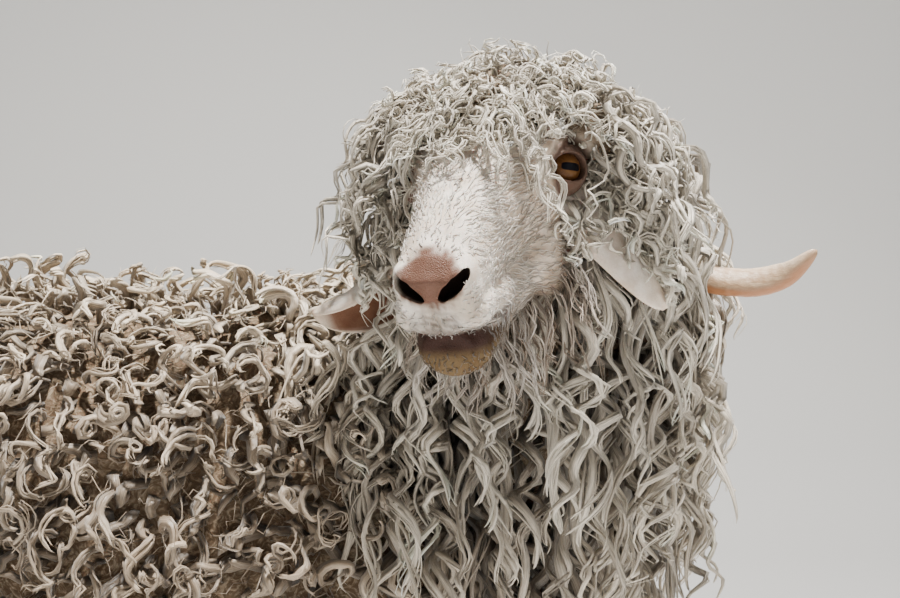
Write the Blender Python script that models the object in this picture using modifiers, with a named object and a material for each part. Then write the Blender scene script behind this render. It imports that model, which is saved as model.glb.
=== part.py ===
"""Angora goat: a still, life-size standing goat with its head turned to its right.

Metres, +Z up. The body points along +X, its right side faces -Y, and the origin ends up on the
floor under the middle of the whole goat. Head sizes are in the head's own frame: +X from between
the eyes to the nose, +Y to the goat's left, +Z out of the forehead.
"""

import math

import bmesh
import bpy
import numpy as np
from mathutils import Matrix, Vector
from mathutils.bvhtree import BVHTree

# The stance
WITHERS = 0.600
BACK_LENGTH = 0.760
FORE_FOOT_X = 0.170
HIND_FOOT_X = -0.375
FOOT_HALF_TRACK = 0.088
HOOF_TOP = 0.036
GAP = 0.0003
CLEARANCE = 0.0006

# The head's place, turned to the goat's right and held a little above the back
BETWEEN_EYES = Vector((0.290, -0.280, 0.675))
HEAD_HEADING = math.radians(-108.7)
HEAD_PITCH = math.radians(37.6)
HEAD = (
    Matrix.Translation(BETWEEN_EYES)
    @ Matrix.Rotation(HEAD_HEADING, 4, "Z")
    @ Matrix.Rotation(HEAD_PITCH, 4, "Y")
)

# The eyes, in the head's frame
EYE_RADIUS = 0.0145
EYE_CENTRE = Vector((-0.004, 0.0465, -0.003))
EYE_AXIS = Vector((0.50, 0.80, 0.33)).normalized()
LID_RADIUS = 0.0185
LID_OPENING = (0.0128, 0.0092)

# The coat: how far it reaches past the skin, and the share of that which is a plain core
TORSO_COAT = 0.066
NECK_COAT = 0.064
LEG_COAT = 0.030
CORE_SHARE = 0.45

FLEECE = ((0.62, 0.55, 0.45, 1.0), 0.9)
FACE = ((0.80, 0.76, 0.71, 1.0), 0.85)
EAR = ((0.72, 0.62, 0.55, 1.0), 0.8)
HORN = ((0.56, 0.40, 0.27, 1.0), 0.45)
HOOF = ((0.20, 0.16, 0.12, 1.0), 0.55)
EYE = ((0.30, 0.15, 0.05, 1.0), 0.1)

UP = Vector((0, 0, 1))
DOWN = Vector((0, 0, -1))


def clear_scene():
    for old in list(bpy.data.objects):
        bpy.data.objects.remove(old)


def mesh_object(points, faces):
    """A mesh object in triangles from points and faces, with its faces turned outwards."""
    mesh = bpy.data.meshes.new("piece")
    mesh.from_pydata([tuple(point) for point in points], [], faces)
    work = bmesh.new()
    work.from_mesh(mesh)
    bmesh.ops.remove_doubles(work, verts=work.verts, dist=1e-6)
    bmesh.ops.triangulate(work, faces=work.faces)
    bmesh.ops.recalc_face_normals(work, faces=work.faces)
    work.to_mesh(mesh)
    work.free()
    return bpy.data.objects.new("piece", mesh)


def loft(rings):
    """A closed body through rings of equally many points."""
    count = len(rings[0])
    points = [point for ring in rings for point in ring]
    faces = [
        (
            row * count + k,
            row * count + (k + 1) % count,
            (row + 1) * count + (k + 1) % count,
            (row + 1) * count + k,
        )
        for row in range(len(rings) - 1)
        for k in range(count)
    ]
    faces.append(tuple(range(count)))
    faces.append(tuple(range(len(points) - count, len(points))))
    return mesh_object(points, faces)


def oval(centre, side, up, half_side, half_up, half_down=None, count=20, square=2.2):
    """A ring with its own height above and below the centre. A square over 2 fills its corners."""
    half_down = half_up if half_down is None else half_down
    ring = []
    for k in range(count):
        turn = 2 * math.pi * k / count
        across = math.copysign(abs(math.cos(turn)) ** (2 / square), math.cos(turn))
        rise = math.copysign(abs(math.sin(turn)) ** (2 / square), math.sin(turn))
        height = half_up if rise > 0 else half_down
        ring.append(centre + side * half_side * across + up * height * rise)
    return ring


def ellipsoid(centre, radii, turn=None, detail=3):
    """An ellipsoid from an icosphere, turned by a rotation matrix."""
    work = bmesh.new()
    bmesh.ops.create_icosphere(work, subdivisions=detail, radius=1.0)
    mesh = bpy.data.meshes.new("ellipsoid")
    work.to_mesh(mesh)
    work.free()
    turn = turn or Matrix.Identity(4)
    mesh.transform(Matrix.Translation(centre) @ turn @ Matrix.Diagonal((*radii, 1.0)))
    return bpy.data.objects.new("ellipsoid", mesh)


def placed(pieces, matrix):
    """The pieces moved into a frame, in their meshes."""
    for piece in pieces:
        piece.data.transform(matrix)
    return pieces


def mirrored(vector, side):
    """A place on the goat's left moved to the given side: 1 is left and -1 is right."""
    return Vector((vector[0], vector[1] * side, vector[2]))


def basis(forward, up):
    """A rotation whose X runs along forward, with Z as near to up as it can be."""
    x = Vector(forward).normalized()
    y = Vector(up).cross(x).normalized()
    return Matrix((x, y, x.cross(y))).transposed().to_4x4()


def evaluated_mesh(piece):
    """Applies the object's modifiers and returns it."""
    if piece.name not in bpy.context.scene.collection.objects:
        bpy.context.scene.collection.objects.link(piece)
    graph = bpy.context.evaluated_depsgraph_get()
    mesh = bpy.data.meshes.new_from_object(piece.evaluated_get(graph))
    piece.modifiers.clear()
    old, piece.data = piece.data, mesh
    bpy.data.meshes.remove(old)
    bpy.context.scene.collection.objects.unlink(piece)
    return piece


def fused_core(forms, voxel, smoothing, triangles):
    """One smooth, light body from overlapping forms."""
    work = bmesh.new()
    for form in forms:
        work.from_mesh(form.data)
        bpy.data.objects.remove(form)
    mesh = bpy.data.meshes.new("core")
    work.to_mesh(mesh)
    work.free()
    core = bpy.data.objects.new("core", mesh)
    remesh = core.modifiers.new("fuse", "REMESH")
    remesh.mode = "VOXEL"
    remesh.voxel_size = voxel
    smooth = core.modifiers.new("smooth", "SMOOTH")
    smooth.factor = 0.5
    smooth.iterations = smoothing
    evaluated_mesh(core)
    decimate = core.modifiers.new("lighten", "DECIMATE")
    decimate.ratio = triangles / (2 * len(core.data.polygons))
    decimate.use_collapse_triangulate = True
    return evaluated_mesh(core)


def boolean(target, others, operation):
    """Joins others to the target, or cuts them from it, and removes them."""
    if not others:
        return target
    group = bpy.data.collections.new("work")
    bpy.context.scene.collection.children.link(group)
    for other in others:
        group.objects.link(other)
    modifier = target.modifiers.new("boolean", "BOOLEAN")
    modifier.operand_type = "COLLECTION"
    modifier.collection = group
    modifier.operation = operation
    modifier.solver = "MANIFOLD"
    evaluated_mesh(target)
    for other in others:
        bpy.data.objects.remove(other)
    bpy.data.collections.remove(group)
    return target


def copy_of(piece, grow=0.0):
    """A copy of a piece, with every face moved outwards by at least grow."""
    twin = piece.copy()
    twin.data = piece.data.copy()
    if grow:
        work = bmesh.new()
        work.from_mesh(twin.data)
        work.normal_update()
        moves = []
        for vertex in work.verts:
            least = min((vertex.normal.dot(face.normal) for face in vertex.link_faces), default=1.0)
            moves.append(vertex.normal * (grow / max(0.15, least)))
        for vertex, move in zip(work.verts, moves):
            vertex.co += move
        work.to_mesh(twin.data)
        work.free()
    return twin


def reach(piece):
    """The lowest and highest corner of a piece."""
    points = np.array([vertex.co for vertex in piece.data.vertices])
    return points.min(0), points.max(0)


def near(piece, low, high):
    """Whether a piece's box comes within the clearance of a box."""
    own_low, own_high = reach(piece)
    room = 4 * CLEARANCE
    return bool((own_low < high + room).all() and (own_high > low - room).all())


def triangles_only(mesh):
    """The mesh in triangles. Where two faces would be cut along the same line, one is cut in two."""
    work = bmesh.new()
    work.from_mesh(mesh)
    spare = [vertex for vertex in work.verts if len(vertex.link_edges) == 2]
    bmesh.ops.dissolve_verts(work, verts=spare)
    for _ in range(5):
        work.verts.index_update()
        work.verts.ensure_lookup_table()
        trial = work.copy()
        trial.verts.index_update()
        bmesh.ops.triangulate(trial, faces=trial.faces)
        doubled = [[v.index for v in e.verts] for e in trial.edges if len(e.link_faces) > 2]
        if not doubled:
            break
        trial.free()
        for first, second in doubled:
            start, end = work.verts[first], work.verts[second]
            shared = [face for face in start.link_faces if end in face.verts]
            across = [f for f in shared if not any({start, end} == set(e.verts) for e in f.edges)]
            if across:
                bmesh.utils.face_split(across[0], start, end, coords=[(start.co + end.co) / 2])
                work.verts.ensure_lookup_table()
    work.free()
    return trial


def keep_largest_shell(piece):
    """Drops every closed surface but the one that holds the most."""
    work = triangles_only(piece.data)
    shells, seen = [], set()
    for start in work.faces:
        if start in seen:
            continue
        seen.add(start)
        shell, stack = [], [start]
        while stack:
            face = stack.pop()
            shell.append(face)
            for edge in face.edges:
                for other in edge.link_faces:
                    if other not in seen:
                        seen.add(other)
                        stack.append(other)
        volume = sum(face.calc_center_median().dot(face.normal) * face.calc_area() for face in shell)
        shells.append((volume, shell))
    largest = max(shells, key=lambda entry: entry[0])[1]
    loose = [face for _, shell in shells if shell is not largest for face in shell]
    bmesh.ops.delete(work, geom=loose, context="FACES")
    work.to_mesh(piece.data)
    work.free()
    return piece


class Surface:
    """A core's skin, for setting locks on it and laying them along it."""

    def __init__(self, core):
        work = bmesh.new()
        work.from_mesh(core.data)
        bmesh.ops.triangulate(work, faces=work.faces)
        self.tree = BVHTree.FromBMesh(work)
        self.triangles = np.array([[tuple(v.co) for v in face.verts] for face in work.faces])
        work.free()

    def roots(self, spacing, seed, wanted, tries=5000):
        """Points and normals about one spacing apart, where wanted says so."""
        draw = np.random.default_rng(seed)
        a, b, c = self.triangles.swapaxes(0, 1)
        areas = np.linalg.norm(np.cross(b - a, c - a), axis=1)
        chosen = draw.choice(len(a), tries, p=areas / areas.sum())
        u, v = draw.random((2, tries, 1))
        flip = u + v > 1
        u, v = np.where(flip, 1 - u, u), np.where(flip, 1 - v, v)
        points = a[chosen] + u * (b - a)[chosen] + v * (c - a)[chosen]
        kept = np.empty((0, 3))
        found = []
        for point in points:
            if len(kept) and np.linalg.norm(kept - point, axis=1).min() < spacing:
                continue
            place, normal, _, _ = self.tree.find_nearest(Vector(point))
            if not wanted(place, normal):
                continue
            kept = np.vstack([kept, point])
            found.append((place, normal))
        return found

    def trail(self, root, normal, flow, length, steps, height):
        """Points from a root along the flow, kept at least a height off the surface."""
        point = root.copy()
        outward = normal.copy()
        trail = [(point.copy(), outward.copy())]
        for step in range(1, steps + 1):
            way = flow(point, outward)
            into = way.dot(outward)
            if into < 0:
                way = way - outward * into
            point = point + way.normalized() * (length / steps)
            place, outward, _, _ = self.tree.find_nearest(point)
            off = (point - place).dot(outward)
            wanted = height(step / steps)
            if off < wanted:
                point = place + outward * wanted
            trail.append((point.copy(), outward.copy()))
        return trail


def is_plain(piece):
    """Whether a piece neither folds sharply nor cuts through itself, so that it can be let out."""
    work = bmesh.new()
    work.from_mesh(piece.data)
    work.normal_update()
    folded = any(v.normal.dot(face.normal) < 0.2 for v in work.verts for face in v.link_faces)
    tree = BVHTree.FromBMesh(work)
    corners = [{v.index for v in face.verts} for face in work.faces]
    work.free()
    crossed = any(not corners[a] & corners[b] for a, b in tree.overlap(tree) if a < b)
    return not folded and not crossed


def lock_body(trail, sink, width, thickness, sides, wave=0.0, turns=0.0, phase=0.0):
    """A flat, tapered lock through a trail, its root sunk under the surface and its tip rounded."""
    points = [point for point, _ in trail]
    outwards = [outward for _, outward in trail]
    points[0] = points[0] - outwards[0] * sink - (points[1] - points[0]) * 0.7
    for _ in range(2):
        inner = [(a + 2 * b + c) / 4 for a, b, c in zip(points, points[1:], points[2:])]
        points = [points[0], *inner, points[-1]]
    for size in (1.0, 0.8, 0.6):
        rings = []
        last = len(points) - 1
        for k, point in enumerate(points):
            share = k / last
            ahead = (points[min(k + 1, last)] - points[max(k - 1, 0)]).normalized()
            side = outwards[k].cross(ahead).normalized()
            out = ahead.cross(side).normalized()
            swing = wave * math.sin(2 * math.pi * turns * share + phase) * min(1.0, 2 * share)
            taper = math.sqrt(max(0.0, 1 - share**2.6)) * (0.60 + 0.60 * min(share * 2.5, 1.0))
            taper = max(taper, 0.12) * size
            ring = [
                point
                + side * (swing + 0.5 * width * taper * math.cos(2 * math.pi * s / sides))
                + out * 0.5 * thickness * taper * math.sin(2 * math.pi * s / sides)
                for s in range(sides)
            ]
            rings.append(ring)
        lock = loft(rings)
        if is_plain(lock):
            return [lock]
        bpy.data.objects.remove(lock)
    return []


def clump_body(root, normal, way, length, width, thickness):
    """A rounded clump lying along the surface, fuller at its lower end."""
    work = bmesh.new()
    bmesh.ops.create_uvsphere(work, u_segments=6, v_segments=3, radius=1.0)
    bmesh.ops.triangulate(work, faces=work.faces)
    mesh = bpy.data.meshes.new("clump")
    work.to_mesh(mesh)
    work.free()
    lie = way - normal * way.dot(normal)
    turn = basis(lie if lie.length > 0.05 else normal.orthogonal(), normal)
    for vertex in mesh.vertices:
        x, y, z = vertex.co
        full = 0.86 + 0.20 * x
        vertex.co = (x, y * full, z * full + 0.18 * x)
    mesh.transform(
        Matrix.Translation(root)
        @ turn
        @ Matrix.Diagonal((0.5 * length, 0.5 * width, 0.5 * thickness, 1.0))
    )
    return bpy.data.objects.new("clump", mesh)


def hang(sideways=0.0, back=0.0):
    """A flow that runs down, away from the spine and a little backwards."""

    def flow(point, outward):
        spread = math.copysign(sideways, point.y) * max(outward.z, 0.0)
        return Vector((-back, spread, -1.0)).normalized()

    return flow


# The trunk

def torso_forms(grow):
    """The trunk's forms, from the croup to the breast, each let out by grow."""
    back, front = -0.585 * BACK_LENGTH, 0.415 * BACK_LENGTH
    stations = (
        (0.00, 0.53, 0.43, 0.050),
        (0.05, 0.575, 0.36, 0.095),
        (0.15, 0.600, 0.31, 0.122),
        (0.30, 0.606, 0.275, 0.136),
        (0.48, 0.598, 0.250, 0.150),
        (0.64, 0.594, 0.252, 0.144),
        (0.78, WITHERS, 0.275, 0.122),
        (0.88, 0.585, 0.300, 0.105),
        (0.96, 0.545, 0.335, 0.082),
        (1.00, 0.500, 0.375, 0.050),
    )
    rings = []
    for share, top, bottom, half in stations:
        centre = Vector((back + share * (front - back), 0, 0.55 * top + 0.45 * bottom))
        rings.append(
            oval(centre, Vector((0, 1, 0)), UP, half + grow, top - centre.z + grow, centre.z - bottom + grow)
        )
    forms = [loft(rings)]
    for side in (1, -1):
        shoulder = Vector((0.175, 0.078 * side, 0.430))
        haunch = Vector((-0.325, 0.078 * side, 0.450))
        forms.append(ellipsoid(shoulder, (0.085 + grow, 0.050 + grow, 0.125 + grow)))
        forms.append(ellipsoid(haunch, (0.100 + grow, 0.060 + grow, 0.130 + grow)))
    return forms


def torso_pieces():
    core = fused_core(torso_forms(TORSO_COAT * CORE_SHARE), 0.014, 6, 500)
    surface = Surface(core)
    draw = np.random.default_rng(11)
    pieces = [core]

    def wanted(place, normal):
        inside_neck = place.x > 0.245 and place.z > 0.40
        return not inside_neck and place.x < 0.33

    flow = hang(0.8, 0.25)
    for root, normal in surface.roots(0.099, 5, wanted):
        way = flow(root, normal)
        rise = TORSO_COAT * (1 - CORE_SHARE)
        thickness = 2 * rise * (0.85 + 0.3 * draw.random())
        length = 0.146 * (0.9 + 0.25 * draw.random())
        width = 0.108 * (0.9 + 0.25 * draw.random())
        pieces.append(clump_body(root, normal, way, length, width, thickness))
    return pieces


# The neck

def neck_forms(grow):
    """The neck, from inside the breast to the back of the head, curving to the goat's right."""
    stations = (
        (Vector((0.190, 0.000, 0.455)), 0.096, 0.130),
        (Vector((0.265, -0.010, 0.505)), 0.094, 0.118),
        (Vector((0.320, -0.050, 0.560)), 0.088, 0.100),
        (Vector((0.343, -0.110, 0.622)), 0.077, 0.084),
        (Vector((0.333, -0.168, 0.674)), 0.067, 0.070),
        (Vector((0.315, -0.212, 0.700)), 0.052, 0.054),
    )
    rings = []
    last = len(stations) - 1
    for k, (centre, half_side, half_up) in enumerate(stations):
        ahead = (stations[min(k + 1, last)][0] - stations[max(k - 1, 0)][0]).normalized()
        side = UP.cross(ahead).normalized()
        swell = grow * min(1.0, 0.35 + 0.25 * (last - k))
        rings.append(oval(centre, side, ahead.cross(side), half_side + swell, half_up + swell))
    return [loft(rings)]


def neck_pieces():
    core = fused_core(neck_forms(NECK_COAT * CORE_SHARE), 0.012, 8, 380)
    surface = Surface(core)
    draw = np.random.default_rng(23)
    pieces = [core]

    def wanted(place, normal):
        local = HEAD.inverted() @ place
        under_head = local.x > -0.020 and local.z > -0.070
        in_torso = place.x < 0.215 and place.z < 0.55 and abs(place.y) < 0.11
        return not under_head and not in_torso and place.x > 0.180

    for root, normal in surface.roots(0.070, 8, wanted):
        length = 0.150 + 0.05 * draw.random()
        rise = NECK_COAT * (1 - CORE_SHARE) * (0.7 + 0.4 * draw.random())
        trail = surface.trail(
            root, normal, hang(0.0), length, 4,
            lambda share, rise=rise: rise * min(1.0, 0.5 + 1.5 * share),
        )
        pieces += lock_body(trail, 0.016, 0.070, 0.034, 4, 0.007, 1.4, 6.28 * draw.random())
    return pieces


# The head

def head_forms():
    """The bare head in its own frame: skull and muzzle, jaw, brows, cheeks, lips and lids."""
    side, up = Vector((0, 1, 0)), Vector((0, 0, 1))
    upper = (
        (-0.102, -0.006, -0.050, 0.032),
        (-0.082, 0.012, -0.062, 0.045),
        (-0.055, 0.030, -0.062, 0.050),
        (-0.015, 0.045, -0.055, 0.052),
        (0.020, 0.040, -0.050, 0.048),
        (0.050, 0.032, -0.046, 0.037),
        (0.085, 0.026, -0.042, 0.030),
        (0.118, 0.021, -0.040, 0.028),
        (0.140, 0.013, -0.037, 0.026),
        (0.152, 0.003, -0.034, 0.020),
    )
    lower = (
        (-0.058, -0.030, -0.088, 0.030),
        (-0.025, -0.030, -0.094, 0.038),
        (0.030, -0.030, -0.082, 0.035),
        (0.075, -0.030, -0.072, 0.028),
        (0.112, -0.030, -0.071, 0.026),
        (0.134, -0.032, -0.072, 0.023),
        (0.145, -0.036, -0.064, 0.016),
    )
    forms = []
    for stations in (upper, lower):
        rings = []
        for along, top, bottom, half in stations:
            centre = Vector((along, 0, (top + bottom) / 2))
            rings.append(oval(centre, side, up, half, (top - bottom) / 2))
        forms.append(loft(rings))
    for hand in (1, -1):
        forms += [
            ellipsoid(mirrored(EYE_CENTRE, hand), (LID_RADIUS,) * 3),
            ellipsoid((-0.010, 0.040 * hand, 0.016), (0.026, 0.014, 0.011)),
            ellipsoid((0.000, 0.034 * hand, -0.050), (0.050, 0.017, 0.034)),
            ellipsoid((0.135, 0.016 * hand, -0.003), (0.018, 0.010, 0.013)),
            ellipsoid((0.130, 0.017 * hand, -0.026), (0.021, 0.014, 0.012)),
            ellipsoid((0.104, 0.020 * hand, -0.036), (0.026, 0.012, 0.016)),
        ]
    forms.append(ellipsoid((0.131, 0, -0.054), (0.018, 0.021, 0.017)))
    return forms


def scalp_core():
    """The dense base of the curls over the skull, behind the brows."""
    return ellipsoid((-0.055, 0, -0.006), (0.048, 0.066, 0.046), detail=2)


def nostril_cutters():
    inner, outer = Vector((0.151, 0.006, -0.012)), Vector((0.139, 0.0215, 0.004))
    cutters = []
    for hand in (1, -1):
        start, end = mirrored(inner, hand), mirrored(outer, hand)
        turn = basis(end - start, Vector((1, 0, 0)))
        cutters.append(ellipsoid((start + end) / 2, (0.0115, 0.0036, 0.010), turn, detail=2))
    return cutters


def mouth_cutter():
    """A thin curved blade along the line between the lips, from corner to corner."""
    rings = []
    for k in range(-5, 6):
        turn = math.radians(17) * k
        out = Vector((math.cos(turn), math.sin(turn), 0))
        rim = Vector((0.106 + 0.048 * math.cos(turn), 0.0345 * math.sin(turn), -0.0365))
        rim.z += 0.004 * math.sin(turn) ** 2
        rings.append([
            rim + out * 0.010,
            rim + UP * 0.0015,
            rim - out * 0.008,
            rim + DOWN * 0.0015,
        ])
    return loft(rings)


def lid_cutters():
    """The almond openings between the lids."""
    cutters = []
    for hand in (1, -1):
        axis = mirrored(EYE_AXIS, hand)
        turn = basis(axis, Vector((0.1, 0, 1)))
        centre = mirrored(EYE_CENTRE, hand) + axis * EYE_RADIUS * 1.2
        cutters.append(ellipsoid(centre, (0.014, *LID_OPENING), turn, detail=2))
    return cutters


def curl_clumps(draw):
    """Rounded clumps of curls: over the forehead and crown, and down both sides over the ears."""
    rows = (
        # along, height, half spread, clumps, size
        (0.018, 0.041, 0.024, 2, 0.018),
        (-0.004, 0.047, 0.034, 3, 0.021),
        (-0.026, 0.054, 0.046, 3, 0.027),
        (-0.058, 0.050, 0.060, 3, 0.031),
        (-0.088, 0.028, 0.046, 2, 0.032),
    )
    clumps = []
    for along, height, spread, count, size in rows:
        for k in range(count):
            share = 2 * (k + 0.5) / count - 1
            drop = 0.026 * share * share
            place = Vector((along + 0.004 * draw.normal(), spread * share, height - drop - 0.4 * size))
            turn = Matrix.Rotation(draw.random() * 3, 4, "Z") @ Matrix.Rotation(0.5 * share, 4, "X")
            clumps.append(faceted_clump(place, size * (1 + 0.1 * draw.normal()), turn))
    for hand in (1, -1):
        for along, across, height, size in (
            (-0.034, 0.076, 0.010, 0.028),
            (-0.062, 0.092, -0.018, 0.031),
            (-0.030, 0.070, -0.040, 0.026),
            (-0.066, 0.074, -0.064, 0.030),
        ):
            place = Vector((along, across * hand, height))
            turn = Matrix.Rotation(draw.random() * 3, 4, "X")
            clumps.append(faceted_clump(place, size * (1 + 0.08 * draw.normal()), turn))
    return clumps


def faceted_clump(place, size, turn):
    """A light rounded clump of the given half size."""
    work = bmesh.new()
    bmesh.ops.create_uvsphere(work, u_segments=6, v_segments=4, radius=1.0)
    bmesh.ops.triangulate(work, faces=work.faces)
    mesh = bpy.data.meshes.new("clump")
    work.to_mesh(mesh)
    work.free()
    mesh.transform(Matrix.Translation(place) @ turn @ Matrix.Diagonal((size * 1.05, size, 0.9 * size, 1.0)))
    return bpy.data.objects.new("clump", mesh)


def hanging_locks(draw):
    """Locks that hang from the sides of the head, before and behind the ears."""
    locks = []
    for hand in (1, -1):
        for along, across, height, length in (
            (-0.040, 0.084, -0.004, 0.085),
            (-0.070, 0.098, -0.030, 0.100),
            (-0.024, 0.062, -0.052, 0.065),
        ):
            start = HEAD @ Vector((along, across * hand, height))
            away = (HEAD.to_3x3() @ Vector((0.15, hand, 0))).normalized()
            trail = []
            for step in range(4):
                share = step / 3
                place = start + DOWN * length * share + away * 0.010 * math.sin(math.pi * share)
                trail.append((place, away))
            locks += lock_body(trail, 0.008, 0.042, 0.024, 4, 0.003, 1.0, 6.28 * draw.random())
    return locks


def head_pieces():
    core = fused_core(head_forms(), 0.0030, 4, 850)
    core = boolean(core, [*nostril_cutters(), mouth_cutter(), *lid_cutters()], "DIFFERENCE")
    core = boolean(core, [scalp_core()], "UNION")
    placed([core], HEAD)
    draw = np.random.default_rng(37)
    return [core, *placed(curl_clumps(draw), HEAD), *hanging_locks(draw)]


def eye_pieces(hand):
    ball = bmesh.new()
    bmesh.ops.create_uvsphere(ball, u_segments=12, v_segments=8, radius=EYE_RADIUS)
    bmesh.ops.triangulate(ball, faces=ball.faces)
    mesh = bpy.data.meshes.new("eye")
    ball.to_mesh(mesh)
    ball.free()
    mesh.transform(Matrix.Translation(mirrored(EYE_CENTRE, hand)))
    return placed([bpy.data.objects.new("eye", mesh)], HEAD)


# Ears and horns

EAR_WIDTH = 0.062
EAR_WALL = 0.0045


def bezier(a, b, c, share):
    return a * (1 - share) ** 2 + b * 2 * share * (1 - share) + c * share**2


def ear_pieces(hand):
    """A drooping, cupped ear: an open leaf curled across its width, given a wall.

    The left one hangs closer, its cup facing down, and the right one stands further out.
    """
    if hand > 0:
        bend, tip = Vector((-0.030, 0.104, 0.000)), Vector((0.000, 0.108, -0.106))
        facing = Vector((0.40, -0.21, -0.80))
    else:
        bend, tip = Vector((-0.002, -0.118, -0.030)), Vector((0.018, -0.144, -0.093))
        facing = Vector((0.90, 0.28, -0.30))
    root = Vector((-0.052, 0.040 * hand, -0.010))
    rows, columns = 8, 6
    points = []
    for row in range(rows):
        share = row / (rows - 1)
        centre = bezier(root, bend, tip, share)
        before = bezier(root, bend, tip, max(share - 0.05, 0))
        ahead = (bezier(root, bend, tip, min(share + 0.05, 1)) - before).normalized()
        mouth = (facing - ahead * facing.dot(ahead)).normalized()
        across = ahead.cross(mouth)
        half = 0.5 * EAR_WIDTH * (0.40 + 0.60 * math.sin(0.5 * math.pi * min(1.0, 2.0 * share)))
        if share > 0.62:
            half *= math.sqrt(max(0.05, 1 - ((share - 0.62) / 0.39) ** 2))
        curl = math.radians(100 - 45 * share)
        radius = half / math.sin(min(curl, math.pi / 2))
        for column in range(columns):
            turn = curl * (2 * column / (columns - 1) - 1)
            points.append(centre + across * radius * math.sin(turn) + mouth * radius * (1 - math.cos(turn)))
    faces = [
        (r * columns + c, r * columns + c + 1, (r + 1) * columns + c + 1, (r + 1) * columns + c)
        for r in range(rows - 1)
        for c in range(columns - 1)
    ]
    ear = mesh_object(points, faces)
    wall = ear.modifiers.new("wall", "SOLIDIFY")
    wall.thickness = EAR_WALL
    wall.offset = 0.0
    evaluated_mesh(ear)
    work = bmesh.new()
    work.from_mesh(ear.data)
    bmesh.ops.triangulate(work, faces=work.faces)
    bmesh.ops.recalc_face_normals(work, faces=work.faces)
    work.to_mesh(ear.data)
    work.free()
    return placed([ear], HEAD)


def spline(points, count):
    """Evenly many points on a smooth curve through the given ones."""
    points = [Vector(point) for point in points]
    padded = [2 * points[0] - points[1], *points, 2 * points[-1] - points[-2]]
    curve = []
    for k in range(count):
        at = k / (count - 1) * (len(points) - 1)
        step = min(int(at), len(points) - 2)
        t = at - step
        p0, p1, p2, p3 = padded[step : step + 4]
        curve.append(
            0.5 * (2 * p1 + (p2 - p0) * t + (2 * p0 - 5 * p1 + 4 * p2 - p3) * t**2
                   + (3 * p1 - p0 - 3 * p2 + p3) * t**3)
        )
    return curve


def horn_pieces(hand):
    """A flattened, keeled horn: back from the crown, down behind the ear, then out with its tip up.

    The right one flares a little less, so that the curls of the head hide it from in front.
    """
    flare = 1.0 if hand > 0 else 0.85
    route = (
        (-0.046, 0.027, 0.018),
        (-0.084, 0.038, 0.012),
        (-0.118, 0.052, -0.026),
        (-0.128, 0.080, -0.088),
        (-0.112, 0.108 * flare, -0.140),
        (-0.104, 0.142 * flare, -0.150),
        (-0.106, 0.174 * flare, -0.147),
        (-0.114, 0.199 * flare, -0.131),
    )
    centres = spline([mirrored(point, hand) for point in route], 18)
    rings = []
    last = len(centres) - 1
    for k, centre in enumerate(centres):
        share = k / last
        ahead = (centres[min(k + 1, last)] - centres[max(k - 1, 0)]).normalized()
        side = Vector((0.3, 1.0 * hand, 0.55)).cross(ahead).normalized()
        thick = 0.0155 * (1 - share) ** 0.5 + 0.0035
        rings.append(oval(centre, side, ahead.cross(side), thick, 0.72 * thick, count=8, square=2.0))
    return placed([loft(rings)], HEAD)


# Legs, hooves and tail

def foreleg_stations():
    return (
        (0.440, 0.190, 0.074, 0.060, 0.042),
        (0.345, 0.160, 0.088, 0.045, 0.036),
        (0.270, 0.160, 0.089, 0.031, 0.028),
        (0.200, 0.168, 0.088, 0.025, 0.024),
        (0.165, 0.166, 0.088, 0.019, 0.019),
        (0.105, 0.164, 0.088, 0.016, 0.016),
        (0.072, 0.166, 0.088, 0.021, 0.021),
        (0.048, 0.175, 0.088, 0.019, 0.019),
        (0.022, 0.186, 0.088, 0.027, 0.024),
    )


def hindleg_stations():
    return (
        (0.450, -0.320, 0.074, 0.085, 0.046),
        (0.360, -0.300, 0.094, 0.070, 0.042),
        (0.290, -0.345, 0.094, 0.042, 0.031),
        (0.225, -0.400, 0.090, 0.026, 0.022),
        (0.175, -0.396, 0.088, 0.019, 0.018),
        (0.105, -0.384, 0.088, 0.016, 0.016),
        (0.072, -0.382, 0.088, 0.021, 0.021),
        (0.048, -0.371, 0.088, 0.019, 0.019),
        (0.022, -0.359, 0.088, 0.027, 0.024),
    )


def leg_pieces(stations, hand, seed):
    """One leg down to a flat above the hooves, with dewclaws, and locks down to the shank."""
    rings = []
    for height, x, y, half_length, half_width in stations:
        swell = LEG_COAT * CORE_SHARE * min(1.0, max(0.0, (height - 0.12) / 0.08))
        centre = Vector((x, y * hand, height))
        length, width = half_length + swell, half_width + swell
        rings.append(oval(centre, Vector((1, 0, 0)), Vector((0, 1, 0)), length, width, count=16))
    core = fused_core([loft(rings)], 0.006, 3, 260)
    surface = Surface(core)
    draw = np.random.default_rng(seed)
    pieces = [core]
    fetlock = Vector((stations[6][1], stations[6][2] * hand, stations[6][0]))
    for side in (1, -1):
        pieces.append(
            ellipsoid(fetlock + Vector((-0.019, 0.010 * side, -0.006)), (0.008, 0.006, 0.010), detail=1)
        )

    def wanted(place, normal):
        return 0.150 < place.z < 0.335 and abs(normal.z) < 0.8

    for root, normal in surface.roots(0.064, seed, wanted, tries=1500):
        rise = LEG_COAT * (1 - CORE_SHARE) * (0.7 + 0.5 * draw.random())
        trail = surface.trail(
            root, normal, hang(0.0, 0.1), 0.062 + 0.015 * draw.random(), 3,
            lambda share, rise=rise: rise * min(1.0, 0.4 + share),
        )
        pieces += lock_body(trail, 0.010, 0.054, 0.022, 4, 0.004, 1.0, 6.28 * draw.random())
    return pieces


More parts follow.
